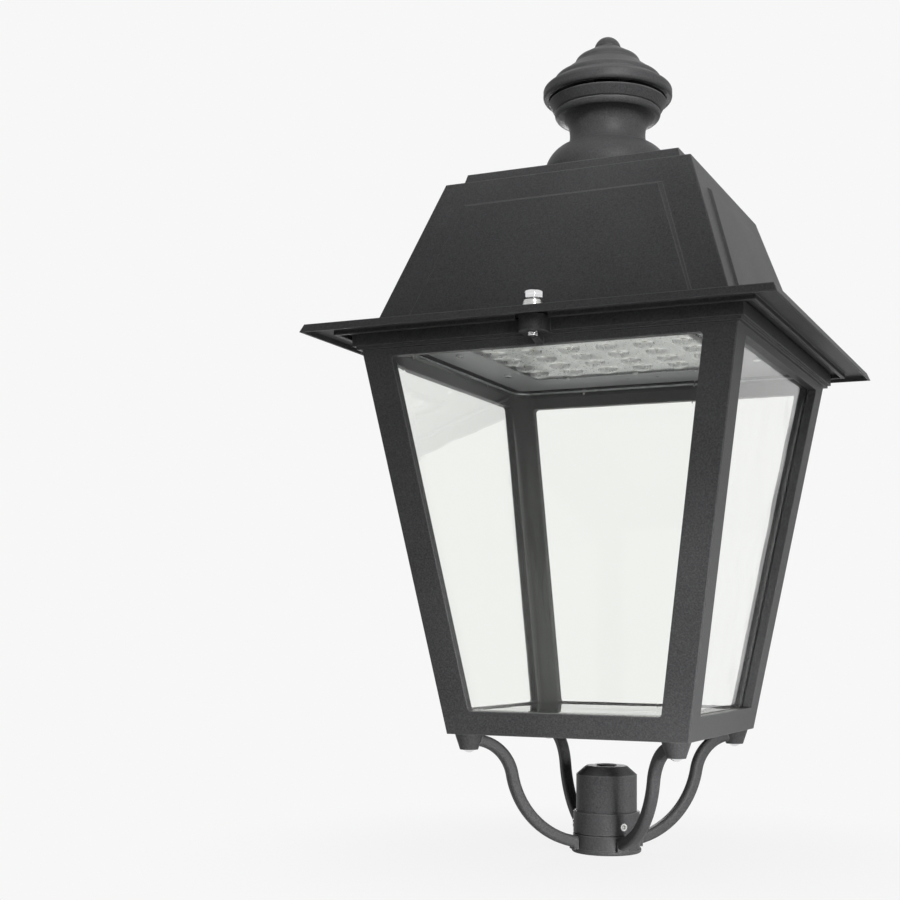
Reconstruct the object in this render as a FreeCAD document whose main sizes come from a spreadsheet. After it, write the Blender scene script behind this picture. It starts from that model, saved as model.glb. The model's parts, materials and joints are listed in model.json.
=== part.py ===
"""Post top lantern: every sub-part of the fixture as its own solid, written to parts/ as STEP.

All lengths are in millimetres. Z is up. The origin is the centre of the mouth of the post socket, and the
front, where the closing bolt sits, faces -Y.
"""
import FreeCAD
import Part
import Sketcher
import math
import os
import re

os.makedirs("parts", exist_ok=True)
doc = FreeCAD.newDocument("post_top_lantern")
Vec = FreeCAD.Vector
Placed = FreeCAD.Placement
Turned = FreeCAD.Rotation

# ---------------------------------------------------------------------------------------------------------
# Driving dimensions: alias, value, meaning
# ---------------------------------------------------------------------------------------------------------
SIZES = {
    # building
    "overrun": (1.0, "how far a cutting tool or a root runs past the face it meets"),
    # post socket, collar and ring
    "spigot_bore": (30.3, "bore radius, for a post spigot of 60 mm"),
    "socket_radius": (33.2, "outer radius of the socket tube"),
    "bore_depth": (79.0, "depth of the straight bore"),
    "socket_shoulder": (83.4, "height where the chamfer starts"),
    "socket_top": (92.8, "height of the closed top"),
    "socket_top_radius": (22.3, "radius of the flat top"),
    "socket_roof": (4.0, "thickness of the closed top"),
    "cable_hole": (8.0, "radius of the cable hole in the top"),
    "grommet_lip": (2.5, "how far the grommet laps over the hole"),
    "grommet_bore": (4.5, "radius of the grommet's bore"),
    "ring_radius": (36.5, "outer radius of the arm ring"),
    "ring_top": (20.0, "top of the arm ring"),
    "flange_radius": (38.0, "radius of the ring's bottom flange"),
    "flange_top": (4.4, "top of the flange"),
    "flange_round": (2.2, "edge radius of the flange"),
    "flange_top_round": (1.0, "upper edge radius of the flange"),
    "collar_radius": (36.2, "outer radius of the clamp collar"),
    "collar_low": (20.6, "underside of the clamp collar"),
    "collar_high": (44.3, "top of the clamp collar"),
    "collar_edge": (0.8, "chamfer on the collar's edges"),
    "grub_height": (30.0, "height of the grub screws"),
    "grub_radius": (3.95, "radius of a grub screw"),
    "grub_hole": (4.0, "radius of the tapped hole of a grub screw"),
    "grub_inner": (30.8, "where a grub screw starts, from the axis"),
    "grub_outer": (36.8, "where a grub screw ends, from the axis"),
    "grub_hex": (2.3, "circumradius of the grub screw's hexagon socket"),
    "grub_hex_depth": (3.0, "depth of the grub screw's hexagon socket"),
    "grub_angle": (-40.0, "direction of the first grub screw, from +X"),
    # arms
    "arm_foot_reach": (161.0, "distance of an arm's foot from the axis"),
    "arm_top": (123.3, "height of the arm's upper end"),
    "arm_straight": (4.0, "straight run of the arm at its foot"),
    "arm_upper_bend": (46.3, "radius of the upper bend"),
    "arm_lower_bend": (92.0, "radius of the lower bend"),
    "arm_steepest": (79.2, "steepest slope of the arm, degrees"),
    "arm_set_in": (2.55, "how far the arm's line runs into the ring"),
    "arm_width": (12.0, "width of the arm's section"),
    "arm_height": (12.4, "height of the arm's section"),
    "arm_corner": (3.6, "corner radius of the arm's section"),
    "hub_reach": (41.2, "distance of an arm's hub face from the axis"),
    "hub_half": (6.4, "half width of an arm's hub"),
    "hub_top": (15.0, "top of an arm's hub"),
    "foot_low": (113.4, "underside of an arm's foot"),
    "foot_low_radius": (9.65, "radius of the foot's underside"),
    "foot_high_radius": (15.3, "radius of the foot where it meets the body"),
    "nut_seat": (116.6, "height of the dome nut's seat in the foot"),
    "nut_pocket": (8.1, "radius of the pocket round the dome nut"),
    "arm_bolt_radius": (4.0, "radius of the M8 arm bolt"),
    "arm_bolt_hole": (4.4, "radius of the bolt's clearance hole"),
    "arm_bolt_head": (7.5, "circumradius of the M8 hexagon, 13 across flats"),
    "arm_bolt_head_height": (5.3, "height of the M8 head"),
    "head_pocket": (9.0, "radius of the pocket round each bolt's head"),
    "head_pocket_height": (8.3, "height of that pocket"),
    "cap_nut_hex": (3.2, "height of the dome nut's hexagon"),
    "cap_nut_dome": (3.3, "height of the dome nut's dome"),
    "cap_nut_depth": (4.2, "depth of the dome nut's thread"),
    # body frame
    "frame_low": (130.0, "underside of the body frame"),
    "frame_low_half": (131.8, "half width at the underside"),
    "frame_high": (531.7, "top of the tapering part"),
    "frame_high_half": (202.2, "half width at the top of the tapering part"),
    "frame_wall": (9.5, "wall of the frame, measured level"),
    "frame_arris": (1.2, "rounding of the frame's corners"),
    "frame_floor_low": (136.0, "underside of the floor"),
    "frame_floor_high": (140.0, "top of the floor"),
    "corner_pad": (17.0, "radius of the pad over each arm's foot"),
    "step_half": (206.5, "half width of the step under the ledge"),
    "ledge_low": (535.0, "underside of the ledge"),
    "ledge_high": (549.0, "top of the ledge"),
    "ledge_half": (209.7, "half width of the ledge"),
    "shelf": (538.0, "shelf that carries the bowl's flange"),
    "recess_half": (200.5, "half width of the recess over the shelf"),
    "recess_corner": (37.0, "corner radius of the recess"),
    "root_start": (3.0, "how far outside the recess the roots of the lug and the ears start"),
    "window_low": (154.8, "sill of the windows"),
    "window_high": (524.0, "head of the windows"),
    "window_low_half": (105.0, "half width of a window at its sill"),
    "window_high_half": (167.7, "half width of a window at its head"),
    "window_corner": (4.0, "corner radius of the windows"),
    "gland_hole": (10.2, "radius of the cable gland's hole"),
    # closing lug
    "bolt_line": (219.0, "distance of the closing bolt from the axis"),
    "lug_radius": (14.5, "radius of the closing lug"),
    "lug_low": (532.6, "underside of the lug"),
    "lug_high": (548.7, "top of the lug"),
    "lug_bore": (5.8, "radius of the lug's bore"),
    "gusset_half": (4.0, "half width of the rib under the lug"),
    "gusset_low": (523.0, "foot of the rib under the lug"),
    # hinge
    "hinge_line": (226.0, "distance of the hinge axis from the lantern's axis"),
    "hinge_drop": (12.6, "depth of the hinge axis under the brim's plate"),
    "hinge_centre": (100.0, "distance of each hinge from the middle"),
    "hinge_boss": (6.0, "radius of the hinge's eyes and ears"),
    "hinge_pin": (4.0, "radius of the hinge pin"),
    "hinge_play": (0.08, "running clearance of the eye on its pin"),
    "eye_half": (3.6, "half width of a roof eye"),
    "ear_gap": (0.4, "side gap between eye and ear"),
    "ear_width": (8.0, "width of a frame ear"),
    "pin_head": (5.6, "radius of a pin's head"),
    "pin_head_height": (2.0, "thickness of a pin's head"),
    "pin_tail": (3.0, "how far the pin stands out past the ear"),
    "clip_radius": (6.0, "outer radius of a pin's clip"),
    "clip_width": (1.0, "thickness of a pin's clip"),
    "clip_mouth": (3.0, "half width of the clip's mouth"),
    # bowl
    "bowl_low": (150.0, "underside of the bowl"),
    "bowl_gap": (0.5, "level gap between bowl and frame"),
    "bowl_wall": (4.0, "wall of the bowl"),
    "bowl_corner": (30.0, "corner radius of the bowl"),
    "bowl_foot_round": (7.0, "rounding of the bowl's bottom edge"),
    "bowl_foot_round_inside": (3.0, "rounding of the bowl's bottom edge, inside"),
    "flange_half": (199.5, "half width of the bowl's flange"),
    "flange_corner": (36.0, "corner radius of the bowl's flange"),
    "bowl_seal": (1.5, "thickness of the gasket under the flange"),
    "bowl_flange": (4.0, "thickness of the bowl's flange"),
    "retainer_inner_half": (188.0, "half width of the opening in the retaining frame"),
    "retainer_inner_corner": (18.0, "corner radius of that opening"),
    "retainer_plate": (1.5, "thickness of the retaining frame"),
    "retainer_screw_line": (196.8, "distance of the retaining screws from the middle planes"),
    "retainer_screw_pitch": (100.0, "how far the retaining screws sit to each side"),
    "screw_four": (2.0, "radius of an M4 screw"),
    "screw_four_hole": (2.3, "clearance hole of an M4 screw"),
    "screw_four_head": (3.5, "head radius of an M4 screw"),
    "screw_four_head_height": (2.4, "head height of an M4 screw"),
    "screw_slot": (0.9, "width of a screw's slot"),
    "screw_slot_depth": (1.1, "depth of a screw's slot"),
    "retainer_screw_depth": (6.5, "depth of the retaining screws in the frame"),
    # cable gland
    "gland_hex": (13.5, "circumradius of the gland's hexagon"),
    "gland_hex_height": (5.0, "height of the gland's hexagon"),
    "gland_nose": (8.5, "height of the gland's cap"),
    "gland_nose_radius": (10.5, "radius of the gland's cap"),
    "gland_round": (3.0, "rounding of the gland's cap"),
    "gland_thread": (10.0, "radius of the gland's M20 thread"),
    "gland_thread_end": (1.0, "how far the gland's thread stands out of the locknut"),
    "gland_bore": (5.0, "radius of the gland's bore"),
    "locknut_height": (5.0, "height of the locknut"),
    # roof canopy
    "brim_half": (250.0, "half width of the brim at its lower edge"),
    "brim_low": (545.5, "lower edge of the brim"),
    "brim_top": (554.1, "top face of the brim"),
    "brim_top_half": (246.4, "half width of the brim's top face"),
    "brim_under": (550.6, "underside of the brim's plate"),
    "brim_land": (2.5, "width of the brim's bottom edge"),
    "rib_half": (224.0, "half width of the drip rib"),
    "rib_width": (4.3, "thickness of the drip rib"),
    "rib_notch_half": (17.5, "half width of the rib's notch at the lug"),
    "canopy_low_half": (194.3, "half width of the canopy at the brim"),
    "canopy_high_half": (137.7, "half width of the canopy at its top"),
    "canopy_high": (721.3, "top of the canopy"),
    "canopy_wall": (3.6, "wall of the canopy, measured level"),
    "canopy_arris": (1.4, "rounding of the canopy's corners"),
    "panel_margin": (36.5, "level distance from a corner to the raised panel"),
    "panel_relief": (3.0, "height of the raised panel"),
    "panel_border": (3.6, "width of the raised panel's sloping border"),
    "panel_low": (562.0, "lower edge of the raised panel"),
    "panel_high": (693.5, "upper edge of the raised panel"),
    "pillar_radius": (6.0, "radius of the pillars that carry the tray"),
    "pillar_top": (660.0, "height where a pillar has run into the wall"),
    "top_plate_low_half": (123.5, "half width of the top plate at its foot"),
    "top_plate_high_half": (119.6, "half width of the top plate at its top"),
    "top_plate_high": (735.9, "top of the top plate"),
    "top_plate_wall": (3.5, "wall of the top plate"),
    "plate_screw_line": (85.0, "distance of the top plate's screws from the middle planes"),
    "plate_screw_depth": (10.0, "depth of those screws in the top plate"),
    "screw_six": (3.0, "radius of an M6 screw"),
    "screw_six_hole": (3.3, "clearance hole of an M6 screw"),
    "screw_six_head": (5.5, "head radius of an M6 screw"),
    "screw_six_head_height": (3.3, "head height of an M6 screw"),
    "plate_boss": (8.0, "radius of the top plate's screw bosses"),
    "stud_boss": (14.0, "radius of the bosses round the stud"),
    "roof_seal_outer": (208.0, "outer half width of the roof gasket"),
    "roof_seal_inner": (203.0, "inner half width of the roof gasket"),
    "roof_seal": (1.3, "thickness of the roof gasket"),
    "roof_seal_corner": (6.0, "corner radius of the roof gasket"),
    # finial
    "stud_radius": (5.0, "radius of the M10 stud"),
    "stud_hole": (5.5, "radius of the stud's clearance hole"),
    "stud_low": (705.0, "lower end of the stud"),
    "stud_high": (872.0, "upper end of the stud"),
    "stud_nut": (9.8, "circumradius of the M10 hexagon, 17 across flats"),
    "stud_nut_height": (8.0, "height of the M10 nut"),
    "stud_washer": (13.5, "radius of the nut's washer"),
    "stud_washer_height": (2.0, "thickness of the nut's washer"),
    "dome_foot": (71.5, "radius of the finial's foot"),
    "dome_start": (760.0, "height where the foot's dome starts"),
    "dome_radius": (36.0, "radius of the foot's dome"),
    "dome_end": (46.5, "radius where the dome ends"),
    "neck_low": (789.5, "foot of the neck"),
    "neck_low_radius": (45.6, "radius at the foot of the neck"),
    "neck_high": (807.0, "top of the neck"),
    "neck_high_radius": (43.4, "radius at the top of the neck"),
    "neck_cove": (32.0, "radius of the neck's hollow"),
    "cup_cove": (16.0, "radius of the hollow under the cup"),
    "cup_low": (822.0, "lower edge of the cup"),
    "cup_low_radius": (57.7, "radius of the cup's lower edge"),
    "bead_round": (7.0, "rounding of the bead at the cup's foot"),
    "bead_high": (828.5, "top of the bead at the cup's foot"),
    "bead_radius": (60.3, "radius of the bead at its top"),
    "cup_groove": (1.0, "depth of the groove over the bead"),
    "cup_high": (841.0, "top of the cup"),
    "cup_high_radius": (67.3, "radius of the cup at its top"),
    "cup_wall": (6.0, "wall of the cup and foot"),
    "bell_low": (844.5, "lower edge of the bell"),
    "bell_low_radius": (72.0, "radius of the bell's lower edge"),
    "bell_side": (849.0, "foot of the bell's upright side"),
    "bell_widest": (854.0, "top of the bell's upright side"),
    "bell_radius": (73.6, "radius of the bell's upright side"),
    "bell_rim_under": (5.0, "rounding of the bell's lower edge"),
    "bell_rim_over": (6.0, "rounding of the bell's upper edge"),
    "bell_brow": (858.3, "outer end of the bell's first slope"),
    "bell_brow_radius": (70.3, "radius of the bell there"),
    "bell_shoulder": (863.6, "foot of the middle tier"),
    "bell_shoulder_radius": (62.2, "radius at the foot of the middle tier"),
    "tier_round": (9.0, "rounding of the middle tier"),
    "tier_brow": (872.0, "top of the middle tier's rounding"),
    "tier_brow_radius": (55.8, "radius of the middle tier there"),
    "tier_high": (884.6, "top of the bell's middle tier"),
    "tier_high_radius": (39.5, "radius at the top of the middle tier"),
    "cone_low": (887.6, "foot of the upper tier's rounding"),
    "cone_low_radius": (37.6, "radius of the upper tier there"),
    "cone_round": (12.0, "rounding of the upper tier"),
    "cone_brow": (895.8, "top of the upper tier's rounding"),
    "cone_brow_radius": (30.8, "radius of the upper tier there"),
    "knob_low": (904.5, "foot of the knob"),
    "cone_high_radius": (16.6, "radius at the top of the upper tier"),
    "knob_radius": (15.4, "radius of the knob"),
    "finial_top": (919.0, "top of the finial"),
    "bell_wall": (5.0, "wall of the bell"),
    # gear tray and light source
    "tray_half": (184.0, "half width of the gear tray"),
    "tray_corner": (8.0, "corner radius of the gear tray"),
    "tray_low": (547.8, "underside of the gear tray"),
    "tray_sheet": (2.0, "sheet thickness of the gear tray"),
    "tray_rim": (10.0, "height of the tray's turned up rim"),
    "tray_screw_across": (151.0, "tray screws, left and right of the middle"),
    "tray_screw_along": (68.0, "tray screws, before and behind the middle"),
    "screw_five": (2.5, "radius of an M5 screw"),
    "screw_five_hole": (2.8, "clearance hole of an M5 screw"),
    "screw_five_head": (4.7, "head radius of an M5 screw"),
    "screw_five_head_height": (2.8, "head height of an M5 screw"),
    "tray_screw_depth": (14.0, "depth of the tray screws in the pillars"),
    "light_half_across": (119.0, "half width of the opening for the light source"),
    "light_half_along": (96.0, "half depth of the opening for the light source"),
    "light_corner": (4.0, "corner radius of that opening"),
    "lens_half_across": (127.0, "half width of the lens plate"),
    "lens_half_along": (109.5, "half depth of the lens plate"),
    "lens_corner": (8.0, "corner radius of the lens plate"),
    "lens_sheet": (1.6, "thickness of the lens plate"),
    "lens_pitch_across": (43.0, "lens pitch, left to right"),
    "lens_pitch_along": (42.0, "lens pitch, front to back"),
    "lens_across": (12.0, "half length of a lens"),
    "lens_along": (9.5, "half width of a lens"),
    "lens_drop": (6.0, "height of a lens"),
    "lens_screw_across": (86.0, "outer lens screws from the middle"),
    "lens_screw_along": (101.5, "lens screws before and behind the middle"),
    "screw_three": (1.5, "radius of an M3 screw"),
    "screw_three_hole": (1.7, "clearance hole of an M3 screw"),
    "screw_three_head": (2.9, "head radius of an M3 screw"),
    "screw_three_head_height": (1.9, "head height of an M3 screw"),
    "lens_screw_depth": (4.0, "depth of the lens screws in the heat sink"),
    "board_half_across": (117.0, "half width of the LED board"),
    "board_half_along": (94.0, "half depth of the LED board"),
    "board_sheet": (1.4, "thickness of the LED board"),
    "emitter_half": (2.5, "half width of an emitter"),
    "emitter_height": (0.6, "height of an emitter"),
    "sink_half_across": (125.0, "half width of the heat sink"),
    "sink_half_along": (107.5, "half depth of the heat sink"),
    "sink_base": (6.0, "thickness of the heat sink's base"),
    "sink_height": (30.0, "height of the heat sink"),
    "fin_half": (1.25, "half thickness of a fin"),
    "fin_pitch": (17.5, "pitch of the fins"),
    # control gear on the tray
    "driver_half_across": (75.0, "half length of the driver"),
    "driver_front": (176.0, "front face of the driver, before the middle"),
    "driver_rear": (130.0, "rear face of the driver, before the middle"),
    "driver_height": (32.0, "height of the driver"),
    "foot_length": (12.0, "length of a device's foot"),
    "foot_sheet": (2.0, "thickness of a device's foot"),
    "surge_left": (-96.0, "left side of the surge protector"),
    "surge_right": (-30.0, "right side of the surge protector"),
    "surge_height": (28.0, "height of the surge protector"),
    "surge_near": (128.0, "front face of the surge protector, behind the middle"),
    "surge_far": (164.0, "rear face of the surge protector, behind the middle"),
    "block_left": (20.0, "left side of the terminal block"),
    "block_right": (78.0, "right side of the terminal block"),
    "block_height": (20.0, "height of the terminal block"),
    "block_near": (132.0, "front face of the terminal block, behind the middle"),
    "block_far": (156.0, "rear face of the terminal block, behind the middle"),
    "block_screw": (2.2, "radius of a terminal's screw well"),
    "block_screw_depth": (6.0, "depth of a terminal's screw well"),
    "device_round": (2.0, "rounding of the devices' upright edges"),
    # leads
    "lead_radius": (1.2, "radius of a lead"),
    "lead_red": (-51.0, "position of the red lead"),
    "lead_black": (-43.0, "position of the black lead"),
    "lead_start_rise": (13.4, "height of the leads' way out of the driver over the tray's underside"),
    "lead_drop": (123.0, "where the leads go down through the tray, before the middle"),
    "lead_end_drop": (2.2, "depth of the leads' way into the plug under the tray's underside"),
    "lead_slot": (3.0, "half width of the leads' slot in the tray"),
    "lead_slot_corner": (2.9, "corner radius of that slot"),
    "plug_near": (110.2, "rear face of the plug, before the middle"),
    "plug_far": (116.2, "front face of the plug, before the middle"),
    "plug_left": (-57.0, "left side of the plug"),
    "plug_right": (-37.0, "right side of the plug"),
    "plug_height": (4.6, "height of the plug"),
    # closing bolt
    "bolt_radius": (5.0, "radius of the M10 closing bolt"),
    "bolt_play": (0.06, "running clearance of the bolt in its bush and washer"),
    "bolt_low": (528.7, "lower end of the bolt"),
    "bolt_tip": (1.2, "chamfer of the bolt's end"),
    "bolt_head_low": (565.7, "underside of the bolt's head"),
    "bolt_head_high": (573.5, "top of the bolt's head"),
    "bolt_head": (9.8, "circumradius of the head, 17 across flats"),
    "bolt_head_face": (8.8, "radius of the head's flat top"),
    "bolt_head_chamfer": (0.7, "height of the head's chamfer"),
    "bolt_slot": (0.9, "half width of the head's slot"),
    "bolt_slot_depth": (2.6, "depth of the head's slot"),
    "bush_high": (564.0, "top of the bush"),
    "bush_low_radius": (12.2, "radius of the bush on the brim"),
    "bush_high_radius": (10.0, "radius of the bush at its top"),
    "bush_spigot": (7.0, "radius of the bush's spigot in the brim"),
    "washer_low": (564.3, "underside of the bolt's washer"),
    "washer_sheet": (1.1, "thickness of the bolt's washer"),
    "washer_radius": (8.2, "radius of the bolt's washer"),
}

sheet = doc.addObject("Spreadsheet::Sheet", "Sizes")
for row, (alias, (value, meaning)) in enumerate(SIZES.items(), start=1):
    sheet.set("A%d" % row, str(value))
    sheet.setAlias("A%d" % row, alias)
    sheet.set("B%d" % row, meaning)
doc.recompute()


# ---------------------------------------------------------------------------------------------------------
# Helpers
# ---------------------------------------------------------------------------------------------------------
def formula(text):
    """The text with each alias written as a reference to the sheet."""
    return re.sub(r"[a-z_]+",
                  lambda word: "Sizes." + word.group(0) if word.group(0) in SIZES else word.group(0),
                  text)


def number(text):
    """The present value of a formula."""
    return float(sheet.evalExpression(formula(text)))


def bind(item, path, text):
    """Tie a property to a formula."""
    item.setExpression(path, formula(text))


def move_to(item, x="0", y="0", z="0"):
    """Tie an object's position to three formulas."""
    bind(item, "Placement.Base.x", x)
    bind(item, "Placement.Base.y", y)
    bind(item, "Placement.Base.z", z)


def minus(text):
    return "-(%s)" % text


def new_body(label):
    body = doc.addObject("PartDesign::Body", "Body")
    body.Label = label
    return body


def new_sketch(body, plane, offset="0"):
    """A sketch on one of the body's own origin planes, moved along the plane's normal."""
    sketch = body.newObject("Sketcher::SketchObject", "Sketch")
    support = [item for item in body.Origin.OriginFeatures if item.Role == plane][0]
    sketch.AttachmentSupport = [(support, "")]
    sketch.MapMode = "FlatFace"
    bind(sketch, "AttachmentOffset.Base.z", offset)
    return sketch


def tie_point(sketch, edge, end, x, y):
    """Tie one end of an edge, or a circle's centre, to two formulas."""
    first = sketch.addConstraint(Sketcher.Constraint("DistanceX", -1, 1, edge, end, number(x)))
    sketch.setExpression("Constraints[%d]" % first, formula(x))
    second = sketch.addConstraint(Sketcher.Constraint("DistanceY", -1, 1, edge, end, number(y)))
    sketch.setExpression("Constraints[%d]" % second, formula(y))


def tie_radius(sketch, edge, radius):
    third = sketch.addConstraint(Sketcher.Constraint("Radius", edge, number(radius)))
    sketch.setExpression("Constraints[%d]" % third, formula(radius))


def arc_between(first, last, radius, hollow):
    """The short arc from first to last.

    It bulges to the right of that direction, or to the left when hollow.
    """
    if hollow:
        first, last = last, first
    chord = last - first
    left = Vec(-chord.y, chord.x, 0).normalize()
    reach = math.sqrt(radius ** 2 - (chord.Length / 2) ** 2)
    centre = (first + last) * 0.5 + left * reach
    start = math.atan2(first.y - centre.y, first.x - centre.x)
    end = math.atan2(last.y - centre.y, last.x - centre.x)
    return Part.ArcOfCircle(Part.Circle(centre, Vec(0, 0, 1), radius), start, end)


def run(sketch, corners, closed=True):
    """Edges through the corners.

    A corner is (x, y), or (x, y, radius) where an arc leads to the next corner.
    In an anticlockwise outline the arc bulges outwards, and inwards when the radius starts with "hollow ".
    """
    spots = [Vec(number(corner[0]), number(corner[1]), 0) for corner in corners]
    edges = []
    for index in range(len(corners) if closed else len(corners) - 1):
        corner = corners[index]
        first = spots[index]
        last = spots[(index + 1) % len(corners)]
        if len(corner) == 3:
            hollow = corner[2].startswith("hollow ")
            radius = corner[2].replace("hollow ", "")
            edge = sketch.addGeometry(arc_between(first, last, number(radius), hollow), False)
            tie_radius(sketch, edge, radius)
            edges.append((edge, 2, 1) if hollow else (edge, 1, 2))
        else:
            edge = sketch.addGeometry(Part.LineSegment(first, last), False)
            edges.append((edge, 1, 2))
        tie_point(sketch, edge, edges[-1][1], corner[0], corner[1])
    for index in range(len(edges) if closed else len(edges) - 1):
        here = edges[index]
        after = edges[(index + 1) % len(edges)]
        sketch.addConstraint(Sketcher.Constraint("Coincident", here[0], here[2], after[0], after[1]))
    if not closed:
        tie_point(sketch, edges[-1][0], edges[-1][2], corners[-1][0], corners[-1][1])


def circle(sketch, radius, x="0", y="0"):
    edge = sketch.addGeometry(Part.Circle(Vec(number(x), number(y), 0), Vec(0, 0, 1), number(radius)), False)
    tie_point(sketch, edge, 3, x, y)
    tie_radius(sketch, edge, radius)


def rounded(sketch, half_x, half_y, corner, x="0", y="0"):
    """A rectangle with rounded corners about (x, y)."""
    corner = "(%s)" % corner
    left, right = "(%s) - (%s)" % (x, half_x), "(%s) + (%s)" % (x, half_x)
    low, high = "(%s) - (%s)" % (y, half_y), "(%s) + (%s)" % (y, half_y)
    run(sketch, [
        (left + " + " + corner, low),
        (right + " - " + corner, low, corner),
        (right, low + " + " + corner),
        (right, high + " - " + corner, corner),
        (right + " - " + corner, high),
        (left + " + " + corner, high, corner),
        (left, high + " - " + corner),
        (left, low + " + " + corner, corner)])


def pad(body, sketch, length, both_ways=False):
    feature = body.newObject("PartDesign::Pad", "Pad")
    feature.Profile = sketch
    bind(feature, "Length", length)
    feature.SideType = "Symmetric" if both_ways else "One side"
    return feature


def pocket(body, sketch, length, upwards=False):
    """A pocket against the sketch's normal, or along it when upwards."""
    feature = body.newObject("PartDesign::Pocket", "Pocket")
    feature.Profile = sketch
    bind(feature, "Length", length)
    feature.Reversed = upwards
    return feature


def loft(body, sketches):
    feature = body.newObject("PartDesign::AdditiveLoft", "Loft")
    feature.Profile = sketches[0]
    feature.Sections = sketches[1:]
    feature.Ruled = True
    return feature


def edge_fillet(body, base, chosen, radius):
    """Round the edges of the base feature for which chosen() holds."""
    doc.recompute()
    names = ["Edge%d" % index for index, edge in enumerate(base.Shape.Edges, start=1) if chosen(edge)]
    feature = body.newObject("PartDesign::Fillet", "Fillet")
    feature.Base = (base, names)
    bind(feature, "Radius", radius)
    body.Tip = feature
    return feature


def lathe(label, corners, x="0", y="0", z="0", turn=None):
    """A closed outline of (radius, height) corners turned about an upright axis; turn tips the axis over."""
    body = new_body(label)
    sketch = new_sketch(body, "XZ_Plane")
    run(sketch, corners)
    feature = body.newObject("PartDesign::Revolution", "Revolution")
    feature.Profile = sketch
    feature.ReferenceAxis = (sketch, ["V_Axis"])
    feature.Angle = 360
    if turn is not None:
        body.Placement = Placed(Vec(), turn)
    move_to(body, x, y, z)
    return body


def rod(label, radius, low, high, x="0", y="0"):
    """An upright cylinder."""
    item = doc.addObject("Part::Cylinder", "Cylinder")
    item.Label = label
    bind(item, "Radius", radius)
    bind(item, "Height", "(%s) - (%s)" % (high, low))
    move_to(item, x, y, low)
    return item


def level_rod(label, radius, start, end, y, z):
    """A cylinder along X."""
    item = doc.addObject("Part::Cylinder", "Cylinder")
    item.Label = label
    item.Placement = Placed(Vec(), Turned(Vec(0, 1, 0), 90))
    bind(item, "Radius", radius)
    bind(item, "Height", "(%s) - (%s)" % (end, start))
    move_to(item, start, y, z)
    return item


def hexagon(label, radius, low, high, x="0", y="0"):
    """An upright hexagon bar; radius is to its corners."""
    item = doc.addObject("Part::Prism", "Prism")
    item.Label = label
    item.Polygon = 6
    bind(item, "Circumradius", radius)
    bind(item, "Height", "(%s) - (%s)" % (high, low))
    move_to(item, x, y, low)
    return item


def block(label, left, right, near, far, low, high):
    """A box between three pairs of formulas, along X, Y and Z."""
    item = doc.addObject("Part::Box", "Box")
    item.Label = label
    bind(item, "Length", "(%s) - (%s)" % (right, left))
    bind(item, "Width", "(%s) - (%s)" % (far, near))
    bind(item, "Height", "(%s) - (%s)" % (high, low))
    move_to(item, left, near, low)
    return item


def frustum(label, low_half, low, high_half, high):
    """A square tapering block about the axis."""
    item = doc.addObject("Part::Wedge", "Wedge")
    item.Label = label
    item.Placement = Placed(Vec(), Turned(Vec(1, 0, 0), 90))
    for name, text in (("Ymin", low), ("Ymax", high)):
        bind(item, name, text)
    for name, text in (("Xmax", low_half), ("Zmax", low_half), ("X2max", high_half), ("Z2max", high_half)):
        bind(item, name, text)
        bind(item, name.replace("max", "min"), minus(text))
    return item


def rounded_frustum(label, low_half, low, high_half, high, corner, foot=None):
    """A square tapering block with rounded corners, and a rounded bottom edge when foot is given."""
    same_level = 0.01
    base = frustum(label + " blank", low_half, low, high_half, high)
    doc.recompute()
    rounds = []
    for index, edge in enumerate(base.Shape.Edges, start=1):
        heights = [vertex.Z for vertex in edge.Vertexes]
        if max(heights) - min(heights) > same_level:
            rounds.append((index, number(corner), number(corner)))
        elif foot is not None and max(heights) < number(low) + same_level:
            rounds.append((index, number(foot), number(foot)))
    item = doc.addObject("Part::Fillet", "Fillet")
    item.Label = label
    item.Base = base
    item.Edges = rounds
    return item


def fuse(label, items):
    item = doc.addObject("Part::MultiFuse", "Fuse")
    item.Label = label
    item.Shapes = items
    item.Refine = True
    return item


def cut(label, base, tools):
    """The base less one or more tools."""
    item = doc.addObject("Part::Cut", "Cut")
    item.Label = label
    item.Base = base
    item.Tool = tools[0] if len(tools) == 1 else fuse(label + " tools", tools)
    return item


def group(label, items):
    """Separate solids that share a node."""
    item = doc.addObject("Part::Compound", "Compound")
    item.Label = label
    item.Links = items
    return item


def slotted_screw(label, x, y, seat, size, length, upside_down=False):
    """A slotted pan head screw with its head on the seat; size names its three head dimensions."""
    head = size + "_head"
    if upside_down:
        ends = ("(%s) - %s_head_height" % (seat, size), seat, seat, "(%s) + (%s)" % (seat, length))
        slot = (ends[0], "(%s) + screw_slot_depth" % ends[0])
    else:
        ends = (seat, "(%s) + %s_head_height" % (seat, size), "(%s) - (%s)" % (seat, length), seat)
        slot = ("(%s) - screw_slot_depth" % ends[1], ends[1])
    whole = fuse(label + " blank", [
        rod(label + " head", head, ends[0], ends[1], x, y),
        rod(label + " shank", size, ends[2], ends[3], x, y)])
    groove = block(label + " slot", "(%s) - %s" % (x, head), "(%s) + %s" % (x, head),
                   "(%s) - screw_slot / 2" % y, "(%s) + screw_slot / 2" % y, slot[0], slot[1])
    return cut(label, whole, [groove])


def four_ways(across, along):
    """The four points (+-across, +-along)."""
    return [(sign_x + "(%s)" % across, sign_y + "(%s)" % along) for sign_x in "+-" for sign_y in "+-"]


def line_between(low, low_value, high, high_value, level):
    """A straight taper: the value at a level, from its values at two others."""
    return "(%s) + ((%s) - (%s)) * ((%s) - (%s)) / ((%s) - (%s))" % (
        low_value, high_value, low_value, level, low, high, low)


def cap_radius(foot, rise):
    """Radius of the ball whose cap has this foot radius and rise."""
    return "((%s) * (%s) + (%s) * (%s)) / (2 * (%s))" % (foot, foot, rise, rise, rise)


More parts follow.
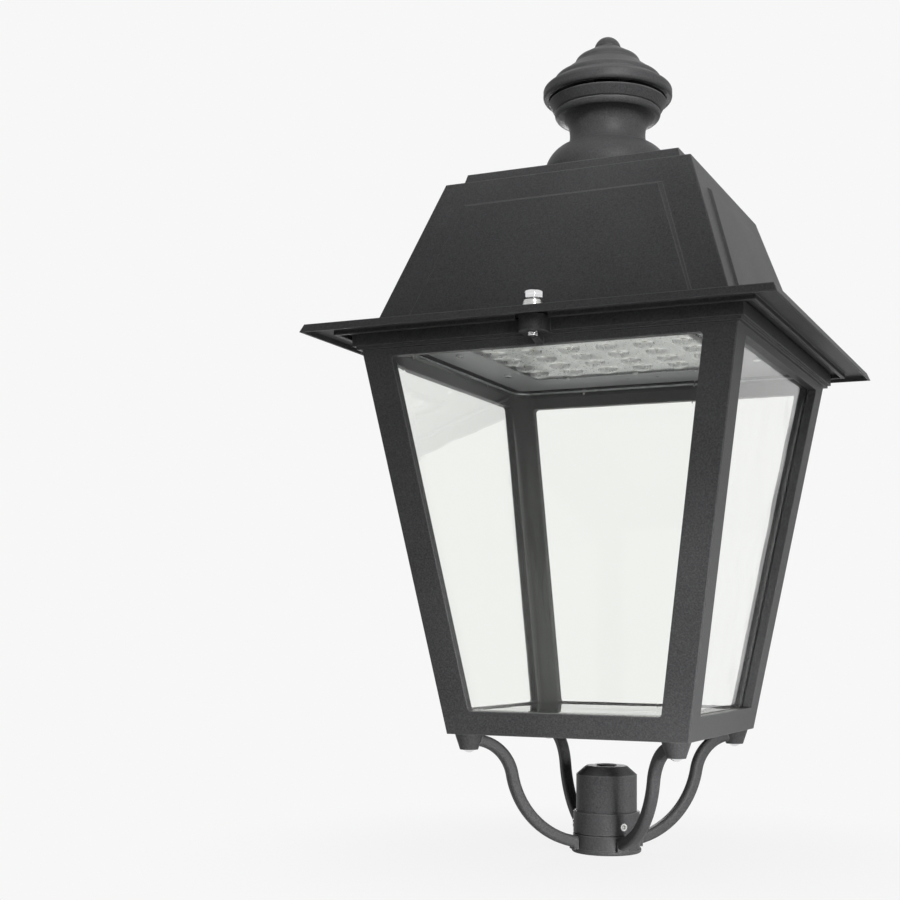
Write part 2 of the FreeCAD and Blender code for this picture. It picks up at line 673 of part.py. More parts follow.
def frame_half(level):
    """Outer half width of the body frame at a level."""
    return line_between("frame_low", "frame_low_half", "frame_high", "frame_high_half", level)


def canopy_half(level):
    """Outer half width of the canopy at a level."""
    return line_between("brim_top", "canopy_low_half", "canopy_high", "canopy_high_half", level)


# ---------------------------------------------------------------------------------------------------------
# Post socket, collar, ring and arms
# ---------------------------------------------------------------------------------------------------------
GRUB_TURNS = {"grub_screw_front": 0, "grub_screw_rear": 120, "grub_screw_left": 240}


def grub_cylinder(label, radius, start, end, turn):
    """A level cylinder pointing outwards at a grub screw's place."""
    item = doc.addObject("Part::Cylinder", "Cylinder")
    item.Label = label
    angle = number("grub_angle") + turn
    item.Placement = Placed(Vec(), Turned(Vec(0, 0, 1), angle) * Turned(Vec(0, 1, 0), 90))
    bind(item, "Radius", radius)
    bind(item, "Height", "(%s) - (%s)" % (end, start))
    facing = "grub_angle + %d" % turn
    move_to(item, "(%s) * cos(%s)" % (start, facing), "(%s) * sin(%s)" % (start, facing), "grub_height")
    return item


def grub_holes(label):
    return [grub_cylinder(label + " hole", "grub_hole", "spigot_bore - grub_hole", "flange_radius", turn)
            for turn in GRUB_TURNS.values()]


def make_post_socket():
    shell = lathe("post_socket shell", [
        ("spigot_bore", "0"),
        ("socket_radius", "0"),
        ("socket_radius", "socket_shoulder"),
        ("socket_top_radius", "socket_top"),
        ("cable_hole", "socket_top"),
        ("cable_hole", "socket_top - socket_roof"),
        ("spigot_bore - (socket_top - socket_roof - bore_depth)", "socket_top - socket_roof"),
        ("spigot_bore", "bore_depth")])
    return cut("post_socket", shell, grub_holes("post_socket"))


def make_socket_grommet():
    lip = "cable_hole + grommet_lip"
    return lathe("socket_grommet", [
        ("grommet_bore", "socket_top - socket_roof - grommet_lip"),
        (lip, "socket_top - socket_roof - grommet_lip"),
        (lip, "socket_top - socket_roof"),
        ("cable_hole", "socket_top - socket_roof"),
        ("cable_hole", "socket_top"),
        (lip, "socket_top"),
        (lip, "socket_top + grommet_lip / 2"),
        ("grommet_bore", "socket_top + grommet_lip / 2")])


def make_clamp_collar():
    ring = lathe("clamp_collar ring", [
        ("socket_radius", "collar_low"),
        ("collar_radius - collar_edge", "collar_low"),
        ("collar_radius", "collar_low + collar_edge"),
        ("collar_radius", "collar_high - collar_edge"),
        ("collar_radius - collar_edge", "collar_high"),
        ("socket_radius", "collar_high")])
    return cut("clamp_collar", ring, grub_holes("clamp_collar"))


def make_grub_screw(label, turn):
    blank = grub_cylinder(label + " blank", "grub_radius", "grub_inner", "grub_outer", turn)
    socket = doc.addObject("Part::Prism", "Prism")
    socket.Label = label + " socket"
    socket.Polygon = 6
    socket.Placement = blank.Placement
    bind(socket, "Circumradius", "grub_hex")
    bind(socket, "Height", "grub_hex_depth")
    start = "grub_outer - grub_hex_depth"
    facing = "grub_angle + %d" % turn
    move_to(socket, "(%s) * cos(%s)" % (start, facing), "(%s) * sin(%s)" % (start, facing), "grub_height")
    return cut(label, blank, [socket])


def make_arm_ring():
    return lathe("arm_ring", [
        ("socket_radius", "0"),
        ("flange_radius - flange_round", "0", "flange_round"),
        ("flange_radius", "flange_round"),
        ("flange_radius", "flange_top - flange_top_round", "flange_top_round"),
        ("flange_radius - flange_top_round", "flange_top"),
        ("ring_radius", "flange_top"),
        ("ring_radius", "ring_top"),
        ("socket_radius", "ring_top")])


ARM_TURNS = {"support_arm_front_left": 225, "support_arm_front_right": 315,
             "support_arm_rear_left": 135, "support_arm_rear_right": 45}


def make_arm(label, turn):
    """A swept S shaped arm in its own upright plane, with a conical foot and a hub, turned to its corner."""
    body = new_body(label)
    path = new_sketch(body, "XZ_Plane")
    bend_start = "arm_foot_reach - arm_straight"
    bend_x = bend_start + " - arm_upper_bend * sin(arm_steepest)"
    bend_z = "arm_top - arm_upper_bend * (1 - cos(arm_steepest))"
    end_x = "ring_radius - arm_set_in"
    end_sine = "(sin(arm_steepest) - (%s - (%s)) / arm_lower_bend)" % (bend_x, end_x)
    end_z = bend_z + " - arm_lower_bend * (sqrt(1 - %s * %s) - cos(arm_steepest))" % (end_sine, end_sine)
    run(path, [
        ("arm_foot_reach", "arm_top"),
        (bend_start, "arm_top", "arm_upper_bend"),
        (bend_x, bend_z, "hollow arm_lower_bend"),
        (end_x, end_z)], closed=False)
    section = new_sketch(body, "YZ_Plane", "arm_foot_reach")
    rounded(section, "arm_width / 2", "arm_height / 2", "arm_corner", "0", "arm_top")
    sweep = body.newObject("PartDesign::AdditivePipe", "Sweep")
    sweep.Profile = section
    sweep.Spine = (path, ["Edge1", "Edge2", "Edge3"])
    foot = body.newObject("PartDesign::AdditiveCone", "Foot")
    bind(foot, "Radius1", "foot_low_radius")
    bind(foot, "Radius2", "foot_high_radius")
    bind(foot, "Height", "frame_low - foot_low")
    move_to(foot, "arm_foot_reach", "0", "foot_low")
    hub = body.newObject("PartDesign::AdditiveBox", "Hub")
    bind(hub, "Length", "hub_reach - spigot_bore")
    bind(hub, "Width", "2 * hub_half")
    bind(hub, "Height", "hub_top - flange_top")
    move_to(hub, "spigot_bore", "-hub_half", "flange_top")
    for name, radius, low, high in (("Hole", "arm_bolt_hole", "foot_low", "frame_low"),
                                    ("Pocket", "nut_pocket", "foot_low - overrun", "nut_seat")):
        drill = body.newObject("PartDesign::SubtractiveCylinder", name)
        bind(drill, "Radius", radius)
        bind(drill, "Height", "%s - (%s)" % (high, low))
        move_to(drill, "arm_foot_reach", "0", low)
    for name, radius, height in (("Ring", "ring_radius", "ring_top + arm_height"),
                                 ("Flange", "flange_radius", "flange_top")):
        trim = body.newObject("PartDesign::SubtractiveCylinder", name)
        bind(trim, "Radius", radius)
        bind(trim, "Height", height)
    body.Placement = Placed(Vec(), Turned(Vec(0, 0, 1), turn))
    return body


def make_arm_bolts():
    spot = "arm_foot_reach * cos(45)"
    bolts = []
    for x, y in four_ways(spot, spot):
        head = hexagon("arm_bolts head", "arm_bolt_head", "frame_floor_high",
                       "frame_floor_high + arm_bolt_head_height", x, y)
        shank = rod("arm_bolts shank", "arm_bolt_radius", "nut_seat - cap_nut_depth", "frame_floor_high",
                    x, y)
        bolts.append(fuse("arm_bolts bolt", [head, shank]))
    return group("arm_bolts", bolts)


def make_arm_cap_nuts():
    spot = "arm_foot_reach * cos(45)"
    flats = "arm_bolt_head * cos(30)"
    nuts = []
    for x, y in four_ways(spot, spot):
        head = hexagon("arm_cap_nuts hexagon", "arm_bolt_head", "nut_seat - cap_nut_hex", "nut_seat", x, y)
        dome = lathe("arm_cap_nuts dome", [
            ("0", "0"),
            ("0", minus("cap_nut_dome"), cap_radius(flats, "cap_nut_dome")),
            (flats, "0")], x, y, "nut_seat - cap_nut_hex")
        thread = rod("arm_cap_nuts thread", "arm_bolt_radius", "nut_seat - cap_nut_depth", "nut_seat", x, y)
        nuts.append(cut("arm_cap_nuts nut", fuse("arm_cap_nuts blank", [head, dome]), [thread]))
    return group("arm_cap_nuts", nuts)


# ---------------------------------------------------------------------------------------------------------
# Body frame, bowl and gland
# ---------------------------------------------------------------------------------------------------------
def slab(label, low, high, half, corner):
    """A level square slab with rounded upright corners."""
    body = new_body(label)
    sketch = new_sketch(body, "XY_Plane", low)
    rounded(sketch, half, half, corner)
    pad(body, sketch, "(%s) - (%s)" % (high, low))
    return body


def window_prism(label, plane):
    """The space of two opposite windows, right through the frame."""
    body = new_body(label)
    opening = new_sketch(body, plane)
    run(opening, [
        ("-window_low_half", "window_low"),
        ("window_low_half", "window_low"),
        ("window_high_half", "window_high"),
        ("-window_high_half", "window_high")])
    through = "3 * ledge_half"
    prism = pad(body, opening, through, both_ways=True)

    def runs_through(edge):
        return edge.Length > number(through) - number("overrun")

    edge_fillet(body, prism, runs_through, "window_corner")
    return body


def frame_casting():
    """The tapering frame with its ledge, floor and windows, without lug, ears and holes."""
    hull = rounded_frustum("body_frame hull", "frame_low_half", "frame_low", "frame_high_half", "frame_high",
                           "frame_arris")
    step = block("body_frame step", "-step_half", "step_half", "-step_half", "step_half", "frame_high",
                 "ledge_low")
    ledge = block("body_frame ledge", "-ledge_half", "ledge_half", "-ledge_half", "ledge_half", "ledge_low",
                  "ledge_high")
    top = "shelf + overrun"
    cavity = rounded_frustum("body_frame cavity", frame_half("frame_floor_high") + " - frame_wall",
                             "frame_floor_high", frame_half(top) + " - frame_wall", top,
                             "bowl_corner + bowl_gap")
    recess = slab("body_frame recess", "shelf", "ledge_high + overrun", "recess_half", "recess_corner")
    under = slab("body_frame underside", "frame_low - overrun", "frame_floor_low",
                 "frame_low_half - frame_wall", "corner_pad")
    return cut("body_frame casting", fuse("body_frame solid", [hull, step, ledge]),
               [cavity, recess, under, window_prism("body_frame windows front", "XZ_Plane"),
                window_prism("body_frame windows side", "YZ_Plane")])


def hinge_sides():
    return [("left", "-1"), ("right", "1")]


def ear_spans(side):
    """Start and end along X of the two ears of one hinge."""
    centre = "%s * hinge_centre" % side
    inner = "(eye_half + ear_gap)"
    return [("%s - %s - ear_width" % (centre, inner), "%s - %s" % (centre, inner)),
            ("%s + %s" % (centre, inner), "%s + %s + ear_width" % (centre, inner))]


def make_body_frame():
    spot = "arm_foot_reach * cos(45)"
    pads = [rod("body_frame pad", "corner_pad", "frame_low", "frame_floor_high", x, y)
            for x, y in four_ways(spot, spot)]
    lug = rod("body_frame lug", "lug_radius", "lug_low", "lug_high", "0", "-bolt_line")
    lug_root = block("body_frame lug root", "-lug_radius", "lug_radius", "-bolt_line",
                     "-recess_half - root_start", "lug_low", "lug_high")
    rib = new_body("body_frame lug rib")
    outline = new_sketch(rib, "YZ_Plane")
    run(outline, [
        ("-(%s) + frame_arris" % frame_half("gusset_low"), "gusset_low"),
        ("-recess_half - root_start", "lug_low + overrun"),
        ("-bolt_line - lug_radius / 2", "lug_low + overrun"),
        ("-bolt_line - lug_radius / 2", "lug_low")])
    pad(rib, outline, "2 * gusset_half", both_ways=True)
    ears = []
    for name, side in hinge_sides():
        for start, end in ear_spans(side):
            ears.append(level_rod("body_frame ear " + name, "hinge_boss", start, end, "hinge_line",
                                  "brim_under - hinge_drop"))
            ears.append(block("body_frame ear root " + name, start, end, "recess_half + root_start",
                              "hinge_line", "brim_under - hinge_drop - hinge_boss",
                              "brim_under - hinge_drop + hinge_boss"))
    whole = fuse("body_frame blank", [frame_casting()] + pads + [lug, lug_root, rib] + ears)
    holes = [rod("body_frame arm hole", "arm_bolt_hole", "frame_low - overrun", "frame_floor_high + overrun",
                 x, y)
             for x, y in four_ways(spot, spot)]
    holes += [rod("body_frame head pocket", "head_pocket", "frame_floor_high",
                  "frame_floor_high + head_pocket_height", x, y) for x, y in four_ways(spot, spot)]
    holes.append(rod("body_frame gland hole", "gland_hole", "frame_floor_low - overrun",
                     "frame_floor_high + overrun"))
    holes.append(rod("body_frame lug bore", "lug_bore", "gusset_low", "lug_high + overrun", "0",
                     "-bolt_line"))
    for x, y in retainer_spots():
        holes.append(rod("body_frame screw hole", "screw_four", "shelf - retainer_screw_depth",
                         "shelf + overrun", x, y))
    for name, side in hinge_sides():
        holes.append(level_rod("body_frame pin hole " + name, "hinge_pin",
                               ear_spans(side)[0][0] + " - overrun", ear_spans(side)[1][1] + " + overrun",
                               "hinge_line", "brim_under - hinge_drop"))
    return cut("body_frame", whole, holes)


def retainer_spots():
    """Where the eight screws of the retaining frame sit."""
    return (four_ways("retainer_screw_line", "retainer_screw_pitch")
            + four_ways("retainer_screw_pitch", "retainer_screw_line"))


def level_ring(label, low, sheet_size, outer, outer_corner, inner, inner_corner, hole=None):
    """A flat square ring with rounded corners, with the retaining screws' holes when hole is given."""
    body = new_body(label)
    sketch = new_sketch(body, "XY_Plane", low)
    rounded(sketch, outer, outer, outer_corner)
    rounded(sketch, inner, inner, inner_corner)
    if hole is not None:
        for x, y in retainer_spots():
            circle(sketch, hole, x, y)
    pad(body, sketch, sheet_size)
    return body


def bowl_half(level):
    """Outer half width of the bowl at a level."""
    return frame_half(level) + " - frame_wall - bowl_gap"


def make_diffuser_bowl():
    flange_low = "shelf + bowl_seal"
    flange_high = "shelf + bowl_seal + bowl_flange"
    hull = rounded_frustum("diffuser_bowl hull", bowl_half("bowl_low"), "bowl_low", bowl_half(flange_high),
                           flange_high, "bowl_corner", "bowl_foot_round")
    flange = slab("diffuser_bowl flange", flange_low, flange_high, "flange_half", "flange_corner")
    floor = "bowl_low + bowl_wall"
    above = flange_high + " + overrun"
    hollow = rounded_frustum("diffuser_bowl hollow", bowl_half(floor) + " - bowl_wall", floor,
                             bowl_half(above) + " - bowl_wall", above, "bowl_corner - bowl_wall",
                             "bowl_foot_round_inside")
    holes = [rod("diffuser_bowl hole", "screw_four_hole", flange_low + " - overrun", above, x, y)
             for x, y in retainer_spots()]
    return cut("diffuser_bowl", fuse("diffuser_bowl blank", [hull, flange]), [hollow] + holes)


def make_bowl_gasket():
    return level_ring("bowl_gasket", "shelf", "bowl_seal", "flange_half", "flange_corner",
                      bowl_half("shelf + bowl_seal") + " + bowl_gap", "bowl_corner + bowl_gap",
                      "screw_four_hole")


def make_retaining_frame():
    return level_ring("retaining_frame", "shelf + bowl_seal + bowl_flange", "retainer_plate", "flange_half",
                      "flange_corner", "retainer_inner_half", "retainer_inner_corner", "screw_four_hole")


def make_retaining_screws():
    seat = "shelf + bowl_seal + bowl_flange + retainer_plate"
    length = "bowl_seal + bowl_flange + retainer_plate + retainer_screw_depth"
    return group("retaining_screws", [
        slotted_screw("retaining_screws screw", x, y, seat, "screw_four", length)
        for x, y in retainer_spots()])


def make_cable_gland():
    hexagon_low = "frame_floor_low - gland_hex_height"
    nose_low = hexagon_low + " - gland_nose"
    collar = hexagon("cable_gland hexagon", "gland_hex", hexagon_low, "frame_floor_low")
    thread = rod("cable_gland thread", "gland_thread", "frame_floor_low",
                 "frame_floor_high + locknut_height + gland_thread_end")
    nose = lathe("cable_gland cap", [
        ("0", "gland_nose"),
        ("0", "0"),
        ("gland_nose_radius - gland_round", "0", "gland_round"),
        ("gland_nose_radius", "gland_round"),
        ("gland_nose_radius", "gland_nose")], z=nose_low)
    bore = rod("cable_gland bore", "gland_bore", nose_low + " - overrun",
               "frame_floor_high + locknut_height + gland_thread_end + overrun")
    return cut("cable_gland", fuse("cable_gland blank", [collar, thread, nose]), [bore])


def make_gland_locknut():
    nut = hexagon("gland_locknut hexagon", "gland_hex", "frame_floor_high",
                  "frame_floor_high + locknut_height")
    bore = rod("gland_locknut bore", "gland_thread", "frame_floor_high - overrun",
               "frame_floor_high + locknut_height + overrun")
    return cut("gland_locknut", nut, [bore])


def make_hinge_pins():
    pins = []
    for name, side in hinge_sides():
        spans = ear_spans(side)
        head = level_rod("hinge_pins head " + name, "pin_head", spans[0][0] + " - pin_head_height",
                         spans[0][0], "hinge_line", "brim_under - hinge_drop")
        shank = level_rod("hinge_pins shank " + name, "hinge_pin", spans[0][0], spans[1][1] + " + pin_tail",
                          "hinge_line", "brim_under - hinge_drop")
        pins.append(fuse("hinge_pins pin " + name, [head, shank]))
    return group("hinge_pins", pins)


def make_hinge_clips():
    clips = []
    for name, side in hinge_sides():
        start = ear_spans(side)[1][1]
        disc = level_rod("hinge_clips disc " + name, "clip_radius", start, start + " + clip_width",
                         "hinge_line", "brim_under - hinge_drop")
        hole = level_rod("hinge_clips hole " + name, "hinge_pin", start + " - overrun",
                         start + " + clip_width + overrun",
                         "hinge_line", "brim_under - hinge_drop")
        mouth = block("hinge_clips mouth " + name, start + " - overrun", start + " + clip_width + overrun",
                      "hinge_line - clip_mouth", "hinge_line + clip_mouth",
                      "brim_under - hinge_drop - clip_radius - overrun", "brim_under - hinge_drop")
        clips.append(cut("hinge_clips clip " + name, disc, [hole, mouth]))
    return group("hinge_clips", clips)


# ---------------------------------------------------------------------------------------------------------
# Roof
# ---------------------------------------------------------------------------------------------------------
def make_raised_panel(turn):
    """The raised panel of one face of the canopy, built on the front face and turned about the axis."""
    lean = "atan((canopy_low_half - canopy_high_half) / (canopy_high - brim_top))"
    body = new_body("roof_canopy panel")
    sketches = []
    for height, inset in (("0", "0"), ("panel_relief", "panel_border")):
        sketch = new_sketch(body, "XZ_Plane", "canopy_low_half + %s * cos(%s)" % (height, lean))
        bind(sketch, "AttachmentOffset.Base.y", "brim_top + %s * sin(%s)" % (height, lean))
        sketch.AttachmentOffset = Placed(sketch.AttachmentOffset.Base, Turned(Vec(1, 0, 0), -number(lean)))
        corners = []
        for level, up in (("panel_low", "+"), ("panel_high", "-")):
            along = "(%s - brim_top) / cos(%s) %s %s" % (level, lean, up, inset)
            half = "(%s - panel_margin - %s)" % (canopy_half(level), inset)
            corners.append((half, along))
        run(sketch, [("-1 * " + corners[0][0], corners[0][1]), corners[0], corners[1],
                     ("-1 * " + corners[1][0], corners[1][1])])
        sketches.append(sketch)
    loft(body, sketches)
    body.Placement = Placed(Vec(), Turned(Vec(0, 0, 1), turn))
    return body


def make_roof_canopy():
    inner_low = "brim_low - overrun"
    inner_high = "canopy_high - canopy_wall"
    plate = frustum("roof_canopy brim", "brim_half", "brim_low", "brim_top_half", "brim_top")
    slope = "(brim_half - brim_top_half) / (brim_top - brim_low)"
    hollow = frustum("roof_canopy brim hollow", "brim_half - brim_land + overrun * " + slope,
                     "brim_low - overrun",
                     "brim_half - brim_land - (brim_under - brim_low) * " + slope, "brim_under")
    rib = cut("roof_canopy rib", frustum("roof_canopy rib outside", "rib_half", "brim_low", "rib_half",
                                         "brim_under + overrun"),
              [frustum("roof_canopy rib inside", "rib_half - rib_width", "brim_low - overrun",
                       "rib_half - rib_width", "brim_under + 2 * overrun"),
               block("roof_canopy notch", "-rib_notch_half", "rib_notch_half", "-rib_half - overrun",
                     "-rib_half + rib_width + overrun", "brim_low - overrun", "brim_under")])
    pyramid = rounded_frustum("roof_canopy hull", "canopy_low_half", "brim_top", "canopy_high_half",
                              "canopy_high", "canopy_arris")
    space = frustum("roof_canopy space", canopy_half(inner_low) + " - canopy_wall", inner_low,
                    canopy_half(inner_high) + " - canopy_wall", inner_high)
    panels = [make_raised_panel(turn) for turn in (0, 90, 180, 270)]
    outside = fuse("roof_canopy outside", [cut("roof_canopy plate", plate, [hollow]), rib, pyramid] + panels)
    shell = cut("roof_canopy shell", outside, [space])
    pillars = [rod("roof_canopy pillar", "pillar_radius", "tray_low + tray_sheet", "pillar_top", x, y)
               for x, y in four_ways("tray_screw_across", "tray_screw_along")]
    eyes = []
    for name, side in hinge_sides():
        start = "%s * hinge_centre - eye_half" % side
        end = "%s * hinge_centre + eye_half" % side
        eyes.append(level_rod("roof_canopy eye " + name, "hinge_boss", start, end, "hinge_line",
                              "brim_under - hinge_drop"))
        eyes.append(block("roof_canopy eye root " + name, start, end, "hinge_line - hinge_boss",
                          "hinge_line + hinge_boss", "brim_under - hinge_drop", "brim_under + overrun"))
    whole = fuse("roof_canopy blank", [shell] + pillars + eyes)
    holes = [rod("roof_canopy tray hole", "screw_five", "tray_low",
                 "tray_low + tray_sheet + tray_screw_depth",
                 x, y) for x, y in four_ways("tray_screw_across", "tray_screw_along")]
    holes += [rod("roof_canopy plate hole", "screw_six_hole", inner_high + " - overrun",
                  "canopy_high + overrun", x, y)
              for x, y in four_ways("plate_screw_line", "plate_screw_line")]
    holes.append(rod("roof_canopy stud hole", "stud_hole", inner_high + " - overrun",
                     "canopy_high + overrun"))
    holes.append(rod("roof_canopy bush hole", "bush_spigot", "brim_low - overrun", "brim_top + overrun", "0",
                     "-bolt_line"))
    for name, side in hinge_sides():
        holes.append(level_rod("roof_canopy eye hole " + name, "hinge_pin + hinge_play",
                               "%s * hinge_centre - 2 * eye_half" % side,
                               "%s * hinge_centre + 2 * eye_half" % side, "hinge_line",
                               "brim_under - hinge_drop"))
    return cut("roof_canopy", whole, holes)


def make_roof_gasket():
    return level_ring("roof_gasket", "brim_under - roof_seal", "roof_seal", "roof_seal_outer",
                      "roof_seal_corner", "roof_seal_inner", "roof_seal_corner")


def make_roof_top_plate():
    outside = frustum("roof_top_plate outside", "top_plate_low_half", "canopy_high", "top_plate_high_half",
                      "top_plate_high")
    under = "top_plate_high - top_plate_wall"
    inside = frustum("roof_top_plate inside", "top_plate_low_half - top_plate_wall", "canopy_high - overrun",
                     "top_plate_high_half - top_plate_wall", under)
    bosses = [rod("roof_top_plate boss", "plate_boss", "canopy_high", under + " + overrun", x, y)
              for x, y in four_ways("plate_screw_line", "plate_screw_line")]
    bosses.append(rod("roof_top_plate stud boss", "stud_boss", "canopy_high", under + " + overrun"))
    whole = fuse("roof_top_plate blank", [cut("roof_top_plate shell", outside, [inside])] + bosses)
    holes = [rod("roof_top_plate hole", "screw_six", "canopy_high - overrun",
                 "canopy_high + plate_screw_depth", x, y)
             for x, y in four_ways("plate_screw_line", "plate_screw_line")]
    holes.append(rod("roof_top_plate stud hole", "stud_hole", "canopy_high - overrun",
                     "top_plate_high + overrun"))
    return cut("roof_top_plate", whole, holes)


def make_top_plate_screws():
    seat = "canopy_high - canopy_wall"
    return group("top_plate_screws", [
        slotted_screw("top_plate_screws screw", x, y, seat, "screw_six", "canopy_wall + plate_screw_depth",
                      True)
        for x, y in four_ways("plate_screw_line", "plate_screw_line")])


def make_finial_base():
    """Foot, neck and cup, turned and hollow, with a boss round the stud."""
    return lathe("finial_base", [
        ("dome_foot - cup_wall", "top_plate_high"),
        ("dome_foot", "top_plate_high"),
        ("dome_foot", "dome_start", "dome_radius"),
        ("dome_end", "neck_low"),
        ("neck_low_radius", "neck_low", "hollow neck_cove"),
        ("neck_high_radius", "neck_high", "hollow cup_cove"),
        ("cup_low_radius", "cup_low", "bead_round"),
        ("bead_radius", "bead_high"),
        ("bead_radius - cup_groove", "bead_high + cup_groove"),
        ("bead_radius + cup_groove", "bead_high + 2 * cup_groove"),
        ("cup_high_radius", "cup_high"),
        ("cup_high_radius - cup_wall", "cup_high"),
        ("cup_low_radius - cup_wall", "cup_low + cup_wall"),
        ("neck_high_radius - 2 * cup_wall", "neck_high + cup_wall"),
        ("stud_boss", "neck_high + cup_wall"),
        ("stud_boss", "cup_high"),
        ("stud_hole", "cup_high"),
        ("stud_hole", "neck_low - cup_wall"),
        ("neck_low_radius - cup_wall", "neck_low - cup_wall"),
        ("dome_foot - cup_wall", "dome_start")])


def make_finial_cap():
    """The bell with its tiers and knob, hollow below, with a tapped boss."""
    return lathe("finial_cap", [
        ("bell_low_radius - bell_wall", "bell_low"),
        ("bell_low_radius", "bell_low", "bell_rim_under"),
        ("bell_radius", "bell_side"),
        ("bell_radius", "bell_widest", "bell_rim_over"),
        ("bell_brow_radius", "bell_brow"),
        ("bell_shoulder_radius", "bell_shoulder", "tier_round"),
        ("tier_brow_radius", "tier_brow"),
        ("tier_high_radius", "tier_high"),
        ("cone_low_radius", "cone_low", "cone_round"),
        ("cone_brow_radius", "cone_brow"),
        ("cone_high_radius", "knob_low"),
        ("knob_radius", "knob_low", cap_radius("knob_radius", "finial_top - knob_low")),
        ("0", "finial_top"),
        ("0", "stud_high"),
        ("stud_radius", "stud_high"),
        ("stud_radius", "cup_high"),
        ("stud_boss", "cup_high"),
        ("stud_boss", "tier_high - 2 * bell_wall"),
        ("tier_high_radius - 2 * bell_wall", "tier_high - 2 * bell_wall"),
        ("bell_shoulder_radius - bell_wall", "bell_shoulder - bell_wall"),
        ("bell_low_radius - bell_wall", "bell_widest")])


def make_finial_stud():
    return rod("finial_stud", "stud_radius", "stud_low", "stud_high")


def make_finial_nut():
    seat = "canopy_high - canopy_wall - stud_washer_height"
    nut = hexagon("finial_nut hexagon", "stud_nut", seat + " - stud_nut_height", seat)
    bore = rod("finial_nut bore", "stud_radius", seat + " - stud_nut_height - overrun", seat + " + overrun")
    return cut("finial_nut", nut, [bore])


def make_finial_washer():
    top = "canopy_high - canopy_wall"
    disc = rod("finial_washer disc", "stud_washer", top + " - stud_washer_height", top)
    bore = rod("finial_washer bore", "stud_radius", top + " - stud_washer_height - overrun",
               top + " + overrun")
    return cut("finial_washer", disc, [bore])


# ---------------------------------------------------------------------------------------------------------
# Gear tray, light source and control gear
# ---------------------------------------------------------------------------------------------------------
def lens_screw_spots():
    return [(x, y) for x in ("-lens_screw_across", "0", "lens_screw_across")
            for y in ("-lens_screw_along", "lens_screw_along")]


def device_screw_spots():
    """Screws in the feet of the driver, the surge protector and the terminal block."""
    half_foot = "foot_length / 2"
    driver = "-(driver_front + driver_rear) / 2"
    surge = "(surge_near + surge_far) / 2"
    terminals = "(block_near + block_far) / 2"
    return [("-driver_half_across - " + half_foot, driver), ("driver_half_across + " + half_foot, driver),
            ("surge_left - " + half_foot, surge), ("surge_right + " + half_foot, surge),
            ("block_left - " + half_foot, terminals), ("block_right + " + half_foot, terminals)]


def make_gear_tray():
    body = new_body("gear_tray")
    floor = new_sketch(body, "XY_Plane", "tray_low")
    rounded(floor, "tray_half", "tray_half", "tray_corner")
    pad(body, floor, "tray_rim")
    inside = new_sketch(body, "XY_Plane", "tray_low + tray_sheet")
    rounded(inside, "tray_half - tray_sheet", "tray_half - tray_sheet", "tray_corner - tray_sheet")
    pocket(body, inside, "tray_rim", upwards=True)
    drills = new_sketch(body, "XY_Plane", "tray_low + tray_sheet")
    rounded(drills, "light_half_across", "light_half_along", "light_corner")
    rounded(drills, "(lead_black - lead_red) / 2 + lead_slot", "lead_slot", "lead_slot_corner",
            "(lead_red + lead_black) / 2", "-lead_drop")
    for x, y in four_ways("tray_screw_across", "tray_screw_along"):
        circle(drills, "screw_five_hole", x, y)
    for x, y in lens_screw_spots():
        circle(drills, "screw_three_hole", x, y)
    for x, y in device_screw_spots():
        circle(drills, "screw_four", x, y)
    pocket(body, drills, "tray_sheet + overrun")
    return body


def make_tray_screws():
    return group("tray_screws", [
        slotted_screw("tray_screws screw", x, y, "tray_low", "screw_five", "tray_sheet + tray_screw_depth",
                      True)
        for x, y in four_ways("tray_screw_across", "tray_screw_along")])


def make_lens_array():
    body = new_body("lens_array plate")
    outline = new_sketch(body, "XY_Plane", "tray_low - lens_sheet")
    rounded(outline, "lens_half_across", "lens_half_along", "lens_corner")
    for x, y in lens_screw_spots():
        circle(outline, "screw_three_hole", x, y)
    pad(body, outline, "lens_sheet")
    lenses = []
    for x, y in lens_spots():
        lens = doc.addObject("Part::Ellipsoid", "Lens")
        lens.Label = "lens_array lens"
        bind(lens, "Radius1", "lens_drop")
        bind(lens, "Radius2", "lens_across")
        bind(lens, "Radius3", "lens_along")
        lens.Angle1 = -90
        lens.Angle2 = 0
        move_to(lens, x, y, "tray_low - lens_sheet")
        lenses.append(lens)
    return fuse("lens_array", [body] + lenses)


def lens_spots():
    """The 6 x 4 grid of lenses."""
    return [("%s * lens_pitch_across" % column, "%s * lens_pitch_along" % line)
            for column in (-2.5, -1.5, -0.5, 0.5, 1.5, 2.5) for line in (-1.5, -0.5, 0.5, 1.5)]


def make_lens_screws():
    seat = "tray_low - lens_sheet"
    length = "lens_sheet + tray_sheet + lens_screw_depth"
    return group("lens_screws", [
        slotted_screw("lens_screws screw", x, y, seat, "screw_three", length, True)
        for x, y in lens_screw_spots()])


def make_led_board():
    top = "tray_low + tray_sheet"
    return block("led_board", "-board_half_across", "board_half_across",
                 "-board_half_along", "board_half_along",
                 top + " - board_sheet", top)


def make_led_emitters():
    top = "tray_low + tray_sheet - board_sheet"
    chips = [block("led_emitters chip", x + " - emitter_half", x + " + emitter_half", y + " - emitter_half",
                   y + " + emitter_half", top + " - emitter_height", top) for x, y in lens_spots()]
    return group("led_emitters", chips)


FINS_EACH_SIDE = 7


